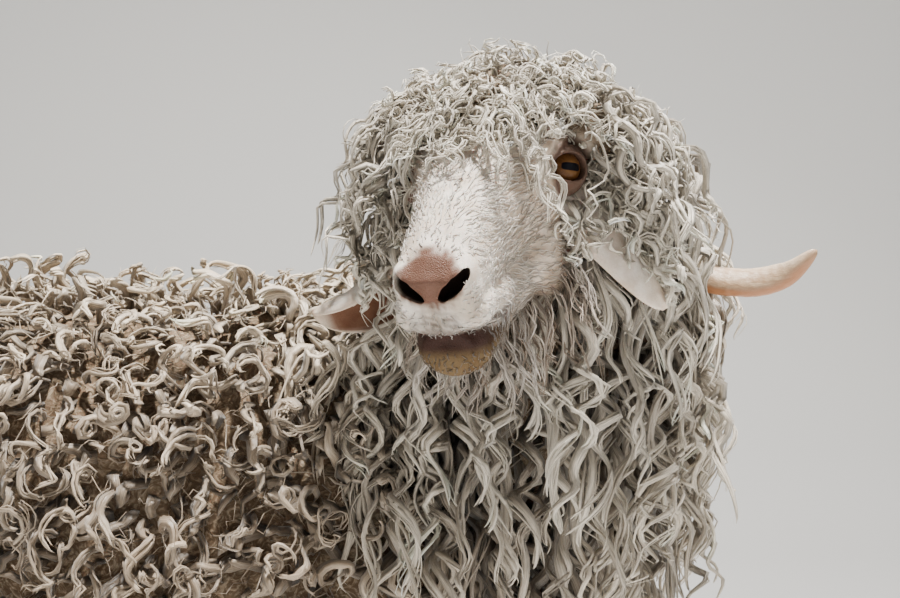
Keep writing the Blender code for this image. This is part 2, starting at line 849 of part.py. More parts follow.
def floor_cutter():
    """A slab that takes off all below the top of the hooves."""
    work = bmesh.new()
    bmesh.ops.create_cube(work, size=1.0)
    bmesh.ops.triangulate(work, faces=work.faces)
    mesh = bpy.data.meshes.new("slab")
    work.to_mesh(mesh)
    work.free()
    top = HOOF_TOP + GAP
    mesh.transform(Matrix.Translation((0, 0, top - 0.1)) @ Matrix.Diagonal((2.0, 2.0, 0.2, 1.0)))
    return bpy.data.objects.new("slab", mesh)


def claw_piece(x, y, hand, outer):
    """One claw of a cloven hoof: flat on its sole and inner side, rounded outside, pointed in front."""
    length, width, parting = 0.056, 0.0235, 0.0012
    outline = (
        (-0.50, 0.0), (-0.50, 0.60), (-0.22, 0.98), (0.10, 1.0), (0.34, 0.72), (0.50, 0.22), (0.50, 0.0)
    )
    turned = hand if outer else -hand
    rings = []
    for height, size, shift in ((0.0, 1.0, 0.006), (0.5, 0.93, 0.001), (1.0, 0.82, -0.006)):
        ring = []
        for along, across in outline:
            forward = 0.012 + shift + along * length * size
            aside = turned * (parting + width * across * size)
            ring.append(Vector((x + forward, y * hand + aside, height * HOOF_TOP)))
        rings.append(ring)
    return loft(rings)


def tail_pieces():
    root, bend, tip = Vector((-0.425, 0, 0.560)), Vector((-0.505, 0, 0.590)), Vector((-0.530, 0, 0.520))
    rings = []
    for k in range(6):
        share = k / 5
        centre = bezier(root, bend, tip, share)
        before = bezier(root, bend, tip, max(share - 0.1, 0))
        ahead = (bezier(root, bend, tip, min(share + 0.1, 1)) - before).normalized()
        side = Vector((0, 1, 0))
        size = 0.030 - 0.014 * share
        rings.append(oval(centre, side, ahead.cross(side), size, size * 0.8, count=10))
    core = fused_core([loft(rings)], 0.006, 2, 160)
    surface = Surface(core)
    draw = np.random.default_rng(71)
    pieces = [core]
    for root, normal in surface.roots(0.036, 4, lambda place, _: place.x < -0.455, tries=800):
        trail = surface.trail(
            root, normal, hang(0.3, 0.3), 0.060 + 0.02 * draw.random(), 3, lambda share: 0.012
        )
        pieces += lock_body(trail, 0.009, 0.034, 0.016, 4, 0.004, 1.0, 6.28 * draw.random())
    return pieces


# Putting it together

def material(name, finish):
    colour, roughness = finish
    made = bpy.data.materials.new(name)
    made.use_nodes = True
    shader = made.node_tree.nodes["Principled BSDF"]
    shader.inputs["Base Color"].default_value = colour
    shader.inputs["Roughness"].default_value = roughness
    shader.inputs["Metallic"].default_value = 0.0
    return made


def all_nodes():
    """Each node's name, finish and pieces. A node is cut clear of the ones before it."""
    nodes = []
    sides = (("left", 1), ("right", -1))
    for word, hand in sides:
        nodes.append((f"eye_{word}", EYE, eye_pieces(hand)))
    for word, hand in sides:
        nodes.append((f"horn_{word}", HORN, horn_pieces(hand)))
    for word, hand in sides:
        nodes.append((f"ear_{word}", EAR, ear_pieces(hand)))
    nodes.append(("head", FACE, head_pieces()))
    nodes.append(("neck", FLEECE, neck_pieces()))
    nodes.append(("torso", FLEECE, torso_pieces()))
    for word, hand in sides:
        nodes.append((f"foreleg_{word}", FLEECE, leg_pieces(foreleg_stations(), hand, 40 + hand)))
        nodes.append((f"hindleg_{word}", FLEECE, leg_pieces(hindleg_stations(), hand, 50 + hand)))
    nodes.append(("tail", FLEECE, tail_pieces()))
    for word, hand in sides:
        for foot, x in (("fore", FORE_FOOT_X), ("hind", HIND_FOOT_X)):
            for claw, outer in (("outer", True), ("inner", False)):
                piece = claw_piece(x, FOOT_HALF_TRACK, hand, outer)
                nodes.append((f"hoof_{foot}_{word}_{claw}", HOOF, [piece]))
    return nodes


def assemble(nodes):
    """Cuts each node clear of the earlier ones, joins its pieces and names it."""
    spare = [[copy_of(piece) for piece in pieces] for _, _, pieces in nodes]
    finishes, made = {}, []
    for index, (name, finish, pieces) in enumerate(nodes):
        core, locks = pieces[0], pieces[1:]
        boolean(core, locks, "UNION")
        low, high = reach(core)
        if not name.startswith("hoof"):
            earlier = [piece for group in spare[:index] for piece in group if near(piece, low, high)]
            boolean(core, [copy_of(piece, CLEARANCE) for piece in earlier], "DIFFERENCE")
        if "leg" in name:
            boolean(core, [floor_cutter()], "DIFFERENCE")
        keep_largest_shell(core)
        if finish[0] not in finishes:
            finishes[finish[0]] = material(name.split("_")[0] + "_finish", finish)
        core.data.materials.clear()
        core.data.materials.append(finishes[finish[0]])
        core.name = name
        made.append(core)
    for group in spare:
        for piece in group:
            bpy.data.objects.remove(piece)
    return made


def main():
    clear_scene()
    goat = bpy.data.collections.new("angora_goat")
    bpy.context.scene.collection.children.link(goat)
    made = assemble(all_nodes())
    corners = np.array([reach(node) for node in made])
    low, high = corners[:, 0].min(0), corners[:, 1].max(0)
    to_origin = Matrix.Translation((-(low[0] + high[0]) / 2, -(low[1] + high[1]) / 2, 0.0))
    for node in made:
        node.data.transform(to_origin)
        goat.objects.link(node)


main()
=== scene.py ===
"""The looks of a standing angora goat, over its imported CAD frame.

One skin stands for the flesh, with a coat of mesh locks over it. Places are in the design frame of
the CAD source, in metres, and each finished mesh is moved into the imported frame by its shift. Head
places are in the head's own frame: +X to the nose, +Y to the goat's left, +Z out of the forehead.
"""

import logging
import math
from collections.abc import Callable, Iterator, Sequence
from contextlib import contextmanager
from dataclasses import dataclass, field, replace
from enum import Enum

import bmesh
import bpy
import numpy as np
from bpy.types import Material, Mesh, Object
from mathutils import Matrix, Vector
from mathutils.bvhtree import BVHTree
from mathutils.kdtree import KDTree


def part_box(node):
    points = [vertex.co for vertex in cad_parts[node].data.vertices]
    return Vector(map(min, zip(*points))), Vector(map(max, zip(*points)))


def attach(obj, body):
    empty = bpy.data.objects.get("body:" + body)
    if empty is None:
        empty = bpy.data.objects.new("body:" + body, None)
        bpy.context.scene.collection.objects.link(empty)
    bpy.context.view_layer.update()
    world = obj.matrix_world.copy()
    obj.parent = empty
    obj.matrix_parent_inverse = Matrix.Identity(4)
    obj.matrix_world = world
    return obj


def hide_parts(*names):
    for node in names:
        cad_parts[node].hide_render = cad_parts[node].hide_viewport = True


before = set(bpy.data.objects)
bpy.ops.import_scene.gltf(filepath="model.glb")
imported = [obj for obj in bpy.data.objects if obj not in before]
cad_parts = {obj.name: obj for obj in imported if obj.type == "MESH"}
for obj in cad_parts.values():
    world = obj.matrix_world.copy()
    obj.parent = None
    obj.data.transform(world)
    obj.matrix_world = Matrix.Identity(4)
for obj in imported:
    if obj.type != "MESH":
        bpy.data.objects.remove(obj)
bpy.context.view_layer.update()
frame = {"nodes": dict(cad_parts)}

logging.basicConfig(level=logging.INFO, format="%(name)s: %(message)s")
LOG = logging.getLogger("goat")

Array = np.ndarray
Flow = Callable[[Array, Array], Array]
Keep = Callable[[Array, Array], Array]
Colour = tuple[float, float, float, float]

TAU = 2 * math.pi
ANY_TURN = (0, 6.28)  # the bounds of a random turn
UP = Vector((0, 0, 1))
BACK_LENGTH = 0.760
WITHERS = 0.600
HOOF_TOP = 0.036
FOOT_HALF_TRACK = 0.088
SQUARE = 2.2  # an oval's power, over an ellipse's 2
FOOT_X = {"fore": 0.170, "hind": -0.375}
SKIN_UNDER_COAT = 0.022

BETWEEN_EYES = Vector((0.290, -0.280, 0.675))
HEAD = (
    Matrix.Translation(BETWEEN_EYES)
    @ Matrix.Rotation(math.radians(-108.7), 4, "Z")
    @ Matrix.Rotation(math.radians(37.6), 4, "Y")
)
EYE_RADIUS = 0.0145
EYE_CENTRE = Vector((-0.004, 0.0465, -0.003))
EYE_AXIS = Vector((0.58, 0.73, 0.36)).normalized()
LEVEL_UP = Vector((-0.61, 0.0, 0.79))  # the world's up in the head's frame, to which the pupils keep level
LID_RADIUS = 0.0185


def packed_shift() -> Vector:
    """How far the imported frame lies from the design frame, from the left eye's place."""
    low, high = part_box("eye_left")
    return (low + high) / 2 - HEAD @ EYE_CENTRE


SHIFT = packed_shift()
PHOTO_CAMERA = Vector((0.264, -1.16, 0.467))
PHOTO_TILT = math.radians(98)
PHOTO_LENS = 54.2


class Side(Enum):
    """A side of the goat, by the sign of Y."""

    LEFT = 1
    RIGHT = -1

    @property
    def word(self) -> str:
        """The side's name in node and piece names."""
        return self.name.lower()


class Slot(Enum):
    """The record's material slots."""

    FLEECE = "fleece"
    FACE = "face"
    EAR = "ear"
    HORN = "horn"
    HOOF = "hoof"
    EYE = "eye"


# Small geometry


def unit(vectors: Array) -> Array:
    """Each vector at length one."""
    return vectors / np.maximum(np.linalg.norm(vectors, axis=-1, keepdims=True), 1e-9)


def smooth_step(low: float, high: float, value: Array) -> Array:
    """0 below low, 1 above high, and a smooth rise between them."""
    share = np.clip((value - low) / (high - low), 0, 1)
    return share * share * (3 - 2 * share)


def transformed(matrix: Matrix, points: Array) -> Array:
    """Points moved by a matrix."""
    turn = np.array(matrix.to_3x3())
    return points @ turn.T + np.array(matrix.translation)


def head_local(points: Array) -> Array:
    """Design-frame points in the head's frame."""
    return transformed(HEAD.inverted(), points)


def search_tree(points: Sequence[Sequence[float]]) -> KDTree:
    """A tree to search the points by place, numbered in their order."""
    tree = KDTree(len(points))
    for k, point in enumerate(points):
        tree.insert(point, k)
    tree.balance()
    return tree


def mirrored(vector: Sequence[float], side: Side) -> Vector:
    """A place on the goat's left moved to the given side."""
    return Vector((vector[0], vector[1] * side.value, vector[2]))


def basis(forward: Vector, up: Vector) -> Matrix:
    """A rotation whose X runs along forward, with Z as near to up as it can be."""
    x = Vector(forward).normalized()
    y = Vector(up).cross(x).normalized()
    return Matrix((x, y, x.cross(y))).transposed().to_4x4()


def oval(
    centre: Vector, side: Vector, up: Vector, half_side: float, half_up: float, count: int = 40
) -> list[Vector]:
    """A closed ring of points, a little fuller in its corners than an ellipse."""
    ring = []
    for k in range(count):
        turn = TAU * k / count
        across = math.copysign(abs(math.cos(turn)) ** (2 / SQUARE), math.cos(turn))
        rise = math.copysign(abs(math.sin(turn)) ** (2 / SQUARE), math.sin(turn))
        ring.append(centre + side * half_side * across + up * half_up * rise)
    return ring


def bezier(a: Vector, b: Vector, c: Vector, share: float) -> Vector:
    """A point on the curve from a to c, bent towards b."""
    return a * (1 - share) ** 2 + b * 2 * share * (1 - share) + c * share**2


def spline(points: Sequence[Sequence[float]], count: int) -> list[Vector]:
    """Evenly many points on a smooth curve through the given ones."""
    places = [Vector(point) for point in points]
    padded = [2 * places[0] - places[1], *places, 2 * places[-1] - places[-2]]
    curve = []
    for k in range(count):
        at = k / (count - 1) * (len(places) - 1)
        step = min(int(at), len(places) - 2)
        t = at - step
        p0, p1, p2, p3 = padded[step : step + 4]
        curve.append(
            0.5 * (2 * p1 + (p2 - p0) * t + (2 * p0 - 5 * p1 + 4 * p2 - p3) * t**2
                   + (3 * p1 - p0 - 3 * p2 + p3) * t**3)
        )
    return curve


# Meshes


def new_object(name: str, mesh: Mesh) -> Object:
    """An object that isn't linked to the scene yet."""
    return bpy.data.objects.new(name, mesh)


def linked(name: str, data: bpy.types.ID) -> Object:
    """An object in the scene."""
    made = bpy.data.objects.new(name, data)
    bpy.context.scene.collection.objects.link(made)
    return made


@contextmanager
def editing(mesh: Mesh) -> Iterator[bmesh.types.BMesh]:
    """The mesh as a BMesh, written back at the end."""
    work = bmesh.new()
    work.from_mesh(mesh)
    yield work
    work.to_mesh(mesh)
    work.free()


def raw_mesh(points: Sequence[Vector], faces: Sequence[tuple[int, ...]]) -> Mesh:
    """A mesh of the points and faces as they are."""
    mesh = bpy.data.meshes.new("form")
    mesh.from_pydata([tuple(point) for point in points], [], faces)
    return mesh


def mesh_from(points: Sequence[Vector], faces: Sequence[tuple[int, ...]]) -> Object:
    """A closed form with its doubles merged and its faces turned outwards."""
    mesh = raw_mesh(points, faces)
    with editing(mesh) as work:
        bmesh.ops.remove_doubles(work, verts=work.verts, dist=1e-6)
        bmesh.ops.recalc_face_normals(work, faces=work.faces)
    return new_object("form", mesh)


def loft(rings: Sequence[Sequence[Vector]]) -> Object:
    """A closed form through rings of equally many points."""
    count = len(rings[0])
    points = [point for ring in rings for point in ring]
    faces: list[tuple[int, ...]] = [
        (r * count + k, r * count + (k + 1) % count, (r + 1) * count + (k + 1) % count, (r + 1) * count + k)
        for r in range(len(rings) - 1)
        for k in range(count)
    ]
    faces.append(tuple(range(count)))
    faces.append(tuple(range(len(points) - count, len(points))))
    return mesh_from(points, faces)


def ellipsoid(
    centre: Sequence[float], radii: Sequence[float], turn: Matrix | None = None, detail: int = 4
) -> Object:
    """An ellipsoid from an icosphere, turned by a rotation."""
    mesh = bpy.data.meshes.new("ellipsoid")
    with editing(mesh) as work:
        bmesh.ops.create_icosphere(work, subdivisions=detail, radius=1.0)
    turn = turn or Matrix.Identity(4)
    mesh.transform(Matrix.Translation(Vector(centre)) @ turn @ Matrix.Diagonal((*radii, 1.0)))
    return new_object("ellipsoid", mesh)


def placed(forms: Sequence[Object], matrix: Matrix) -> list[Object]:
    """The forms moved into a frame, in their meshes."""
    for form in forms:
        form.data.transform(matrix)
    return list(forms)


def applied(form: Object) -> Object:
    """The form with its modifiers applied."""
    bpy.context.scene.collection.objects.link(form)
    graph = bpy.context.evaluated_depsgraph_get()
    mesh = bpy.data.meshes.new_from_object(form.evaluated_get(graph))
    form.modifiers.clear()
    old, form.data = form.data, mesh
    bpy.data.meshes.remove(old)
    bpy.context.scene.collection.objects.unlink(form)
    return form


def joined(forms: Sequence[Object]) -> Object:
    """One mesh of all the forms, which are removed."""
    mesh = bpy.data.meshes.new("joined")
    with editing(mesh) as work:
        for form in forms:
            work.from_mesh(form.data)
            bpy.data.objects.remove(form)
    return new_object("joined", mesh)


def fused(forms: Sequence[Object], voxel: float, smoothing: int) -> Object:
    """One smooth surface from overlapping forms."""
    whole = joined(forms)
    remesh = whole.modifiers.new("fuse", "REMESH")
    remesh.mode = "VOXEL"
    remesh.voxel_size = voxel
    smooth = whole.modifiers.new("smooth", "SMOOTH")
    smooth.factor = 0.5
    smooth.iterations = smoothing
    return applied(whole)


def combined(
    target: Object, others: Sequence[Object], operation: str
) -> Object:
    """The target with the others joined to it, or cut from it."""
    group = bpy.data.collections.new("work")
    bpy.context.scene.collection.children.link(group)
    for other in others:
        group.objects.link(other)
    modifier = target.modifiers.new("combine", "BOOLEAN")
    modifier.operand_type = "COLLECTION"
    modifier.collection = group
    modifier.operation = operation
    modifier.solver = "MANIFOLD"
    applied(target)
    for other in others:
        bpy.data.objects.remove(other)
    bpy.data.collections.remove(group)
    return target


def vertex_rows(mesh: Mesh, key: str = "co") -> Array:
    """The vertices' places or another of their vectors, one a row."""
    flat = np.empty(3 * len(mesh.vertices))
    mesh.vertices.foreach_get(key, flat)
    return flat.reshape(-1, 3)


def set_colours(mesh: Mesh, name: str, colours: Array) -> None:
    """Writes a colour to each vertex."""
    layer = mesh.color_attributes.new(name, "FLOAT_COLOR", "POINT")
    rows = np.ones((len(colours), 4), np.float32)
    rows[:, :3] = colours
    layer.data.foreach_set("color", rows.ravel())


def set_vectors(mesh: Mesh, name: str, vectors: Array) -> None:
    """Writes a vector to each vertex."""
    layer = mesh.attributes.new(name, "FLOAT_VECTOR", "POINT")
    layer.data.foreach_set("vector", vectors.astype(np.float32).ravel())


def set_values(mesh: Mesh, name: str, values: Array) -> None:
    """Writes a number to each vertex."""
    layer = mesh.attributes.new(name, "FLOAT", "POINT")
    layer.data.foreach_set("value", values.astype(np.float32))


def dressed(
    name: str, mesh: Mesh, material: Material, nodes: Sequence[str] = ()
) -> Object:
    """Makes a finished piece of the goat from a design-frame mesh.

    Args:
        name: The piece's name.
        mesh: Its mesh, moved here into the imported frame.
        material: Its finish.
        nodes: The CAD nodes that it stands for.

    Returns:
        The piece, linked and riding on the goat.
    """
    mesh.transform(Matrix.Translation(SHIFT))
    mesh.name = name
    mesh.shade_smooth()
    if not mesh.materials:
        mesh.materials.append(material)
    piece = linked(name, mesh)
    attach(piece, "root")
    if nodes:
        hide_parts(*nodes)
    mesh.calc_loop_triangles()
    LOG.info("%s: %d triangles", name, len(mesh.loop_triangles))
    return piece


# Finishes


class Shader:
    """A material's node tree, with short calls that add and join its nodes."""

    def __init__(self, name: str) -> None:
        self.material = bpy.data.materials.new(name)
        self.material.use_nodes = True
        self.tree = self.material.node_tree
        self.surface = self.tree.nodes["Principled BSDF"]

    def node(self, kind: str, inputs: dict | None = None, **settings) -> bpy.types.Node:
        """Adds a node, with each input a constant or another node's socket."""
        made = self.tree.nodes.new(kind)
        for key, value in settings.items():
            setattr(made, key, value)
        for key, value in (inputs or {}).items():
            self.put(made.inputs[key], value)
        return made

    def put(self, socket: bpy.types.NodeSocket, value) -> None:
        """Links a socket to an input, or sets its constant."""
        if isinstance(value, bpy.types.NodeSocket):
            self.tree.links.new(value, socket)
        else:
            socket.default_value = value

    def set(self, **inputs) -> None:
        """Sets inputs of the surface, named with _ for a space."""
        for key, value in inputs.items():
            self.put(self.surface.inputs[key.replace("_", " ")], value)

    def attribute(self, name: str) -> bpy.types.Node:
        """Reads an attribute of the mesh."""
        return self.node("ShaderNodeAttribute", attribute_name=name)

    def noise(self, vector, scale: float, detail: float = 3.0, rough: float = 0.55):
        """A noise value over a vector."""
        inputs = {"Vector": vector, "Scale": scale, "Detail": detail, "Roughness": rough}
        return self.node("ShaderNodeTexNoise", inputs).outputs["Fac"]

    def math(self, operation: str, first, second=0.0):
        """One sum of two values."""
        return self.node("ShaderNodeMath", {0: first, 1: second}, operation=operation).outputs[0]

    def times(self, first, second):
        """Two values' product."""
        return self.math("MULTIPLY", first, second)

    def plus(self, first, second):
        """Two values' sum."""
        return self.math("ADD", first, second)

    def split(self, vector) -> bpy.types.NodeOutputs:
        """A vector's X, Y and Z."""
        return self.node("ShaderNodeSeparateXYZ", {"Vector": vector}).outputs

    def merge(self, x, y, z):
        """A vector of three values."""
        return self.node("ShaderNodeCombineXYZ", {"X": x, "Y": y, "Z": z}).outputs[0]

    def ramp(self, value, low: float, high: float, start: float = 0.0, end: float = 1.0):
        """A value taken from low..high to start..end, smoothly."""
        made = self.node(
            "ShaderNodeMapRange",
            {"Value": value, "From Min": low, "From Max": high, "To Min": start, "To Max": end},
            interpolation_type="SMOOTHSTEP",
        )
        return made.outputs["Result"]

    def mix(self, share, first, second, blend: str = "MIX"):
        """Two colours mixed."""
        made = self.node("ShaderNodeMix", data_type="RGBA", blend_type=blend)
        for key, value in ((0, share), (6, first), (7, second)):
            self.put(made.inputs[key], value)
        return made.outputs[2]

    def bump(self, height, distance: float, strength: float):
        """A bump normal from a height value."""
        inputs = {"Height": height, "Distance": distance, "Strength": strength}
        return self.node("ShaderNodeBump", inputs).outputs["Normal"]

    def place(self):
        """The surface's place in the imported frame."""
        return self.node("ShaderNodeTexCoord").outputs["Object"]


@dataclass(frozen=True)
class FleeceFinish:
    """Mohair: each vertex's own colour with fine streaks along the strand."""

    name: str = "fleece"
    streak: float = 0.50
    roughness: float = 0.40
    lustre: float = 0.60

    def material(self) -> Material:
        """Builds the material."""
        shader = Shader(self.name)
        colour = shader.attribute("tuft").outputs["Color"]
        fibre = shader.attribute("fibre").outputs["Vector"]
        streaks = shader.noise(fibre, 9.0, 3.0, 0.65)
        tone = shader.ramp(streaks, 0.32, 0.70, 1 - self.streak, 1 + 0.5 * self.streak)
        toned = shader.mix(1.0, colour, shader.node(
            "ShaderNodeCombineColor", {"Red": tone, "Green": tone, "Blue": tone}
        ).outputs["Color"], "MULTIPLY")
        shader.set(
            Base_Color=toned,
            Roughness=shader.ramp(streaks, 0.3, 0.7, self.roughness + 0.12, self.roughness - 0.08),
            Normal=shader.bump(streaks, 0.0008, 0.6),
        )
        shader.set(Sheen_Weight=0.25, Sheen_Roughness=0.4, Specular_IOR_Level=self.lustre)
        return shader.material


@dataclass(frozen=True)
class SkinFinish:
    """Skin and short fur: zone colours from the mesh, with fur streaks, pores and folds."""

    name: str = "skin"

    def material(self) -> Material:
        """Builds the material."""
        shader = Shader(self.name)
        place = shader.place()
        colour = shader.attribute("hide").outputs["Color"]
        bare = shader.attribute("bare").outputs["Fac"]
        mottle = shader.noise(place, 60.0, 4.0)
        fine = shader.noise(place, 900.0, 3.0, 0.6)
        pores = shader.node("ShaderNodeTexVoronoi", {"Vector": place, "Scale": 1300.0}).outputs["Distance"]
        wool = shader.attribute("wool").outputs["Fac"]
        inputs = {"Vector": place, "Scale": 75.0, "Detail": 5.0, "Roughness": 0.62, "Distortion": 4.0}
        swirl = shader.node("ShaderNodeTexNoise", inputs).outputs["Fac"]
        lit = shader.times(wool, shader.ramp(swirl, 0.44, 0.66, 0.0, 0.8))
        colour = shader.mix(lit, colour, (0.42, 0.34, 0.25, 1))
        dark = shader.mix(1.0, colour, (0.74, 0.68, 0.62, 1), "MULTIPLY")
        toned = shader.mix(shader.ramp(mottle, 0.35, 0.65), dark, colour)
        toned = shader.mix(shader.ramp(fine, 0.45, 0.75, 0.0, 0.5), toned, dark)
        grain = shader.times(shader.math("SUBTRACT", 1.0, bare), fine)
        leather = shader.times(bare, pores)
        height = shader.plus(grain, leather)
        height = shader.plus(height, shader.times(shader.times(wool, swirl), 9.0))
        shader.set(
            Base_Color=toned,
            Roughness=shader.math("SUBTRACT", shader.ramp(fine, 0.3, 0.7, 0.72, 0.88),
                                  shader.times(bare, 0.34)),
            Normal=shader.bump(height, 0.0006, 0.6),
        )
        shader.set(Subsurface_Weight=0.08, Subsurface_Scale=0.003, Specular_IOR_Level=0.12)
        return shader.material


@dataclass(frozen=True)
class EyeFinish:
    """A goat's eye: dark amber iris with a level bar for a pupil, dark at its rim, under a wet cornea."""

    name: str = "eye"
    iris: Colour = (0.070, 0.030, 0.010, 1)
    inner: Colour = (0.115, 0.057, 0.019, 1)
    rim: Colour = (0.020, 0.010, 0.006, 1)
    white: Colour = (0.10, 0.055, 0.035, 1)
    pupil: Colour = (0.004, 0.004, 0.006, 1)

    def material(self) -> Material:
        """Builds the material."""
        shader = Shader(self.name)
        gaze = shader.attribute("gaze").outputs["Vector"]
        parts = shader.split(gaze)
        across, rise = parts["Y"], parts["Z"]
        radius = shader.math("SQRT", shader.plus(shader.times(across, across), shader.times(rise, rise)))
        angle = shader.math("ARCTAN2", rise, across)
        rays = shader.merge(shader.times(angle, 7.0), radius, 0.0)
        streaks = shader.noise(rays, 3.0, 4.0, 0.65)
        colour = shader.mix(shader.ramp(radius, 0.22, 0.50), self.inner, self.iris)
        colour = shader.mix(shader.ramp(streaks, 0.40, 0.70, 0.0, 0.75), colour, (0.14, 0.055, 0.016, 1))
        colour = shader.mix(shader.ramp(radius, 0.62, 0.72), colour, self.rim)
        colour = shader.mix(shader.ramp(radius, 0.80, 0.90), colour, self.white)
        flat = shader.math("POWER", shader.math("ABSOLUTE", shader.math("DIVIDE", across, 0.46)), 4.0)
        tall = shader.math("POWER", shader.math("ABSOLUTE", shader.math("DIVIDE", rise, 0.17)), 4.0)
        slot = shader.ramp(shader.plus(flat, tall), 0.7, 1.3, 1.0, 0.0)
        colour = shader.mix(slot, colour, self.pupil)
        shader.set(
            Base_Color=colour,
            Roughness=shader.ramp(streaks, 0.3, 0.7, 0.16, 0.26),
            Normal=shader.bump(streaks, 0.0002, 0.25),
        )
        shader.set(Coat_Weight=0.12, Coat_Roughness=0.04, Specular_IOR_Level=0.05)
        return shader.material


@dataclass(frozen=True)
class HornFinish:
    """Horn: tan with faint growth rings, paler along its keel and orange-brown on its downward faces, partly
    its own colour and partly painted shade.
    """

    name: str = "horn"

    def material(self) -> Material:
        """Builds the material."""
        shader = Shader(self.name)
        parts = shader.split(shader.attribute("grain").outputs["Vector"])
        along, keel = parts["X"], parts["Y"]
        place = shader.place()
        rise = shader.split(shader.node("ShaderNodeNewGeometry").outputs["Normal"])["Z"]
        stretch = shader.merge(shader.times(along, 5.0), shader.times(keel, 3.0), parts["Z"])
        cloud = shader.noise(stretch, 2.0, 5.0)
        fine = shader.noise(place, 1400.0, 3.0)
        wobble = shader.plus(along, shader.times(cloud, 0.060))
        broad = shader.math("SINE", shader.times(wobble, 170.0))
        rings = shader.math("SINE", shader.times(wobble, 610.0))
        colour = shader.mix(shader.ramp(cloud, 0.35, 0.70), (0.35, 0.225, 0.13, 1), (0.50, 0.365, 0.24, 1))
        # Downward faces orange-brown: partly the horn's own colour, partly painted shade
        colour = shader.mix(shader.ramp(rise, -0.60, -0.10, 0.90, 0.0), colour, (0.38, 0.145, 0.050, 1))
        colour = shader.mix(shader.ramp(keel, 0.5, 1.0, 0.0, 0.6), colour, (0.72, 0.60, 0.46, 1))
        colour = shader.mix(shader.ramp(rings, 0.0, 1.0, 0.0, 0.24), colour, (0.30, 0.15, 0.07, 1))
        colour = shader.mix(shader.ramp(broad, 0.6, 1.0, 0.0, 0.16), colour, (0.30, 0.15, 0.07, 1))
        colour = shader.mix(shader.ramp(along, 0.90, 1.0, 0.0, 0.6), colour, (0.42, 0.26, 0.15, 1))
        height = shader.plus(shader.times(broad, 0.25), shader.times(fine, 0.3))
        shader.set(
            Base_Color=colour,
            Roughness=shader.ramp(fine, 0.3, 0.7, 0.36, 0.54),
            Normal=shader.bump(height, 0.0008, 0.5),
            Specular_IOR_Level=0.5,
        )
        return shader.material


@dataclass(frozen=True)
class HoofFinish:
    """Hoof: dark horn with bands that follow its coronet, dusty near the floor."""

    name: str = "hoof"

    def material(self) -> Material:
        """Builds the material."""
        shader = Shader(self.name)
        place = shader.place()
        height = shader.split(place)["Z"]
        cloud = shader.noise(place, 90.0, 4.0)
        fine = shader.noise(place, 1100.0, 3.0)
        wobble = shader.plus(height, shader.times(cloud, 0.004))
        bands = shader.math("SINE", shader.times(wobble, TAU / 0.0045))
        dark, pale = (0.060, 0.042, 0.030, 1), (0.135, 0.100, 0.072, 1)
        colour = shader.mix(shader.ramp(cloud, 0.35, 0.65), dark, pale)
        colour = shader.mix(shader.ramp(bands, 0.0, 1.0, 0.0, 0.35), colour, (0.035, 0.024, 0.018, 1))
        colour = shader.mix(shader.ramp(height, 0.0, 0.012, 0.5, 0.0), colour, (0.24, 0.19, 0.14, 1))
        shape = shader.plus(shader.times(bands, 0.4), fine)
        shader.set(
            Base_Color=colour,
            Roughness=shader.ramp(fine, 0.3, 0.7, 0.48, 0.66),
            Normal=shader.bump(shape, 0.0008, 0.6),
        )
        return shader.material


@dataclass(frozen=True)
class FloorFinish:
    """The plain pale floor."""

    name: str = "floor"
    colour: Colour = (0.72, 0.72, 0.71, 1)

    def material(self) -> Material:
        """Builds the material."""
        shader = Shader(self.name)
        shader.set(Base_Color=self.colour, Roughness=0.9)
        return shader.material


# Markings, and painted shade


CREAM = np.array((0.80, 0.73, 0.61))
BEIGE = np.array((0.76, 0.64, 0.49))
# Dark brown: dirt, and painted shade between the locks and deep in the coat
DIRT_AND_SHADE = np.array((0.20, 0.135, 0.085))
WHITE_FUR = np.array((0.80, 0.735, 0.66))
# Tan: painted shade on the face's sides, and the jaw's own tan fur with painted shade below
TAN_FUR_AND_SHADE = np.array((0.56, 0.41, 0.29))
# Yellow-tan chin fur, darkened with painted shade under the head
CHIN_FUR_AND_SHADE = np.array((0.135, 0.090, 0.045))
NOSE = np.array((0.165, 0.088, 0.064))
# Dusky lip skin, darkened with painted shade
LIP_AND_SHADE = np.array((0.036, 0.016, 0.012))
LID = np.array((0.058, 0.021, 0.013))
# Near black: painted shade inside the mouth and nostrils
HOLE_SHADE = np.array((0.018, 0.010, 0.008))
EAR_INSIDE = np.array((0.135, 0.064, 0.038))
EAR_RIM = np.array((0.74, 0.63, 0.52))
EAR_BACK = np.array((0.76, 0.70, 0.64))
SHANK = np.array((0.58, 0.47, 0.36))
BACK_STAIN = np.array((0.60, 0.49, 0.33))
LEG_STAIN = np.array((0.34, 0.26, 0.18))
# Soiled belly fleece, with painted shade
BELLY_SOIL_AND_SHADE = np.array((0.30, 0.23, 0.155))
THROAT_STAIN_AND_SHADE = np.array((0.34, 0.25, 0.17))
SOIL = np.array((0.36, 0.27, 0.18))
THROAT_HAIR_AND_SHADE = np.array((0.30, 0.20, 0.125))

# The line between the lips, in the head's frame: half an oval round the muzzle's front
MOUTH_BACK = 0.106
MOUTH_REACH = 0.048
MOUTH_HALF_WIDTH = 0.0345


def blended(colours: Array, share: Array, towards: Array) -> Array:
    """Colours moved towards another by each row's share."""
    return colours + (towards - colours) * share[:, None]


def layered(colours: Array, *layers: tuple[Array, Array]) -> Array:
    """Colours with other ones laid over them in order, each by its share."""
    for share, towards in layers:
        colours = blended(colours, share, towards)
    return colours


def eye_gap(local: Array, side: Side) -> Array:
    """How far head places are from an eye's middle."""
    return np.linalg.norm(local - np.array(mirrored(EYE_CENTRE, side)), axis=1)


def cells(points: Array, size: float, seed: int) -> Array:
    """Smooth values in 0..1 that change over about one size, from a seeded sum of waves."""
    draw = np.random.default_rng(seed)
    total = np.zeros(len(points))
    for _ in range(7):
        way = unit(draw.normal(size=3)) * (TAU / size) * draw.uniform(0.6, 1.5)
        total += np.sin(points @ way + draw.uniform(0, TAU))
    return 0.5 + 0.5 * np.tanh(total / 2.2)


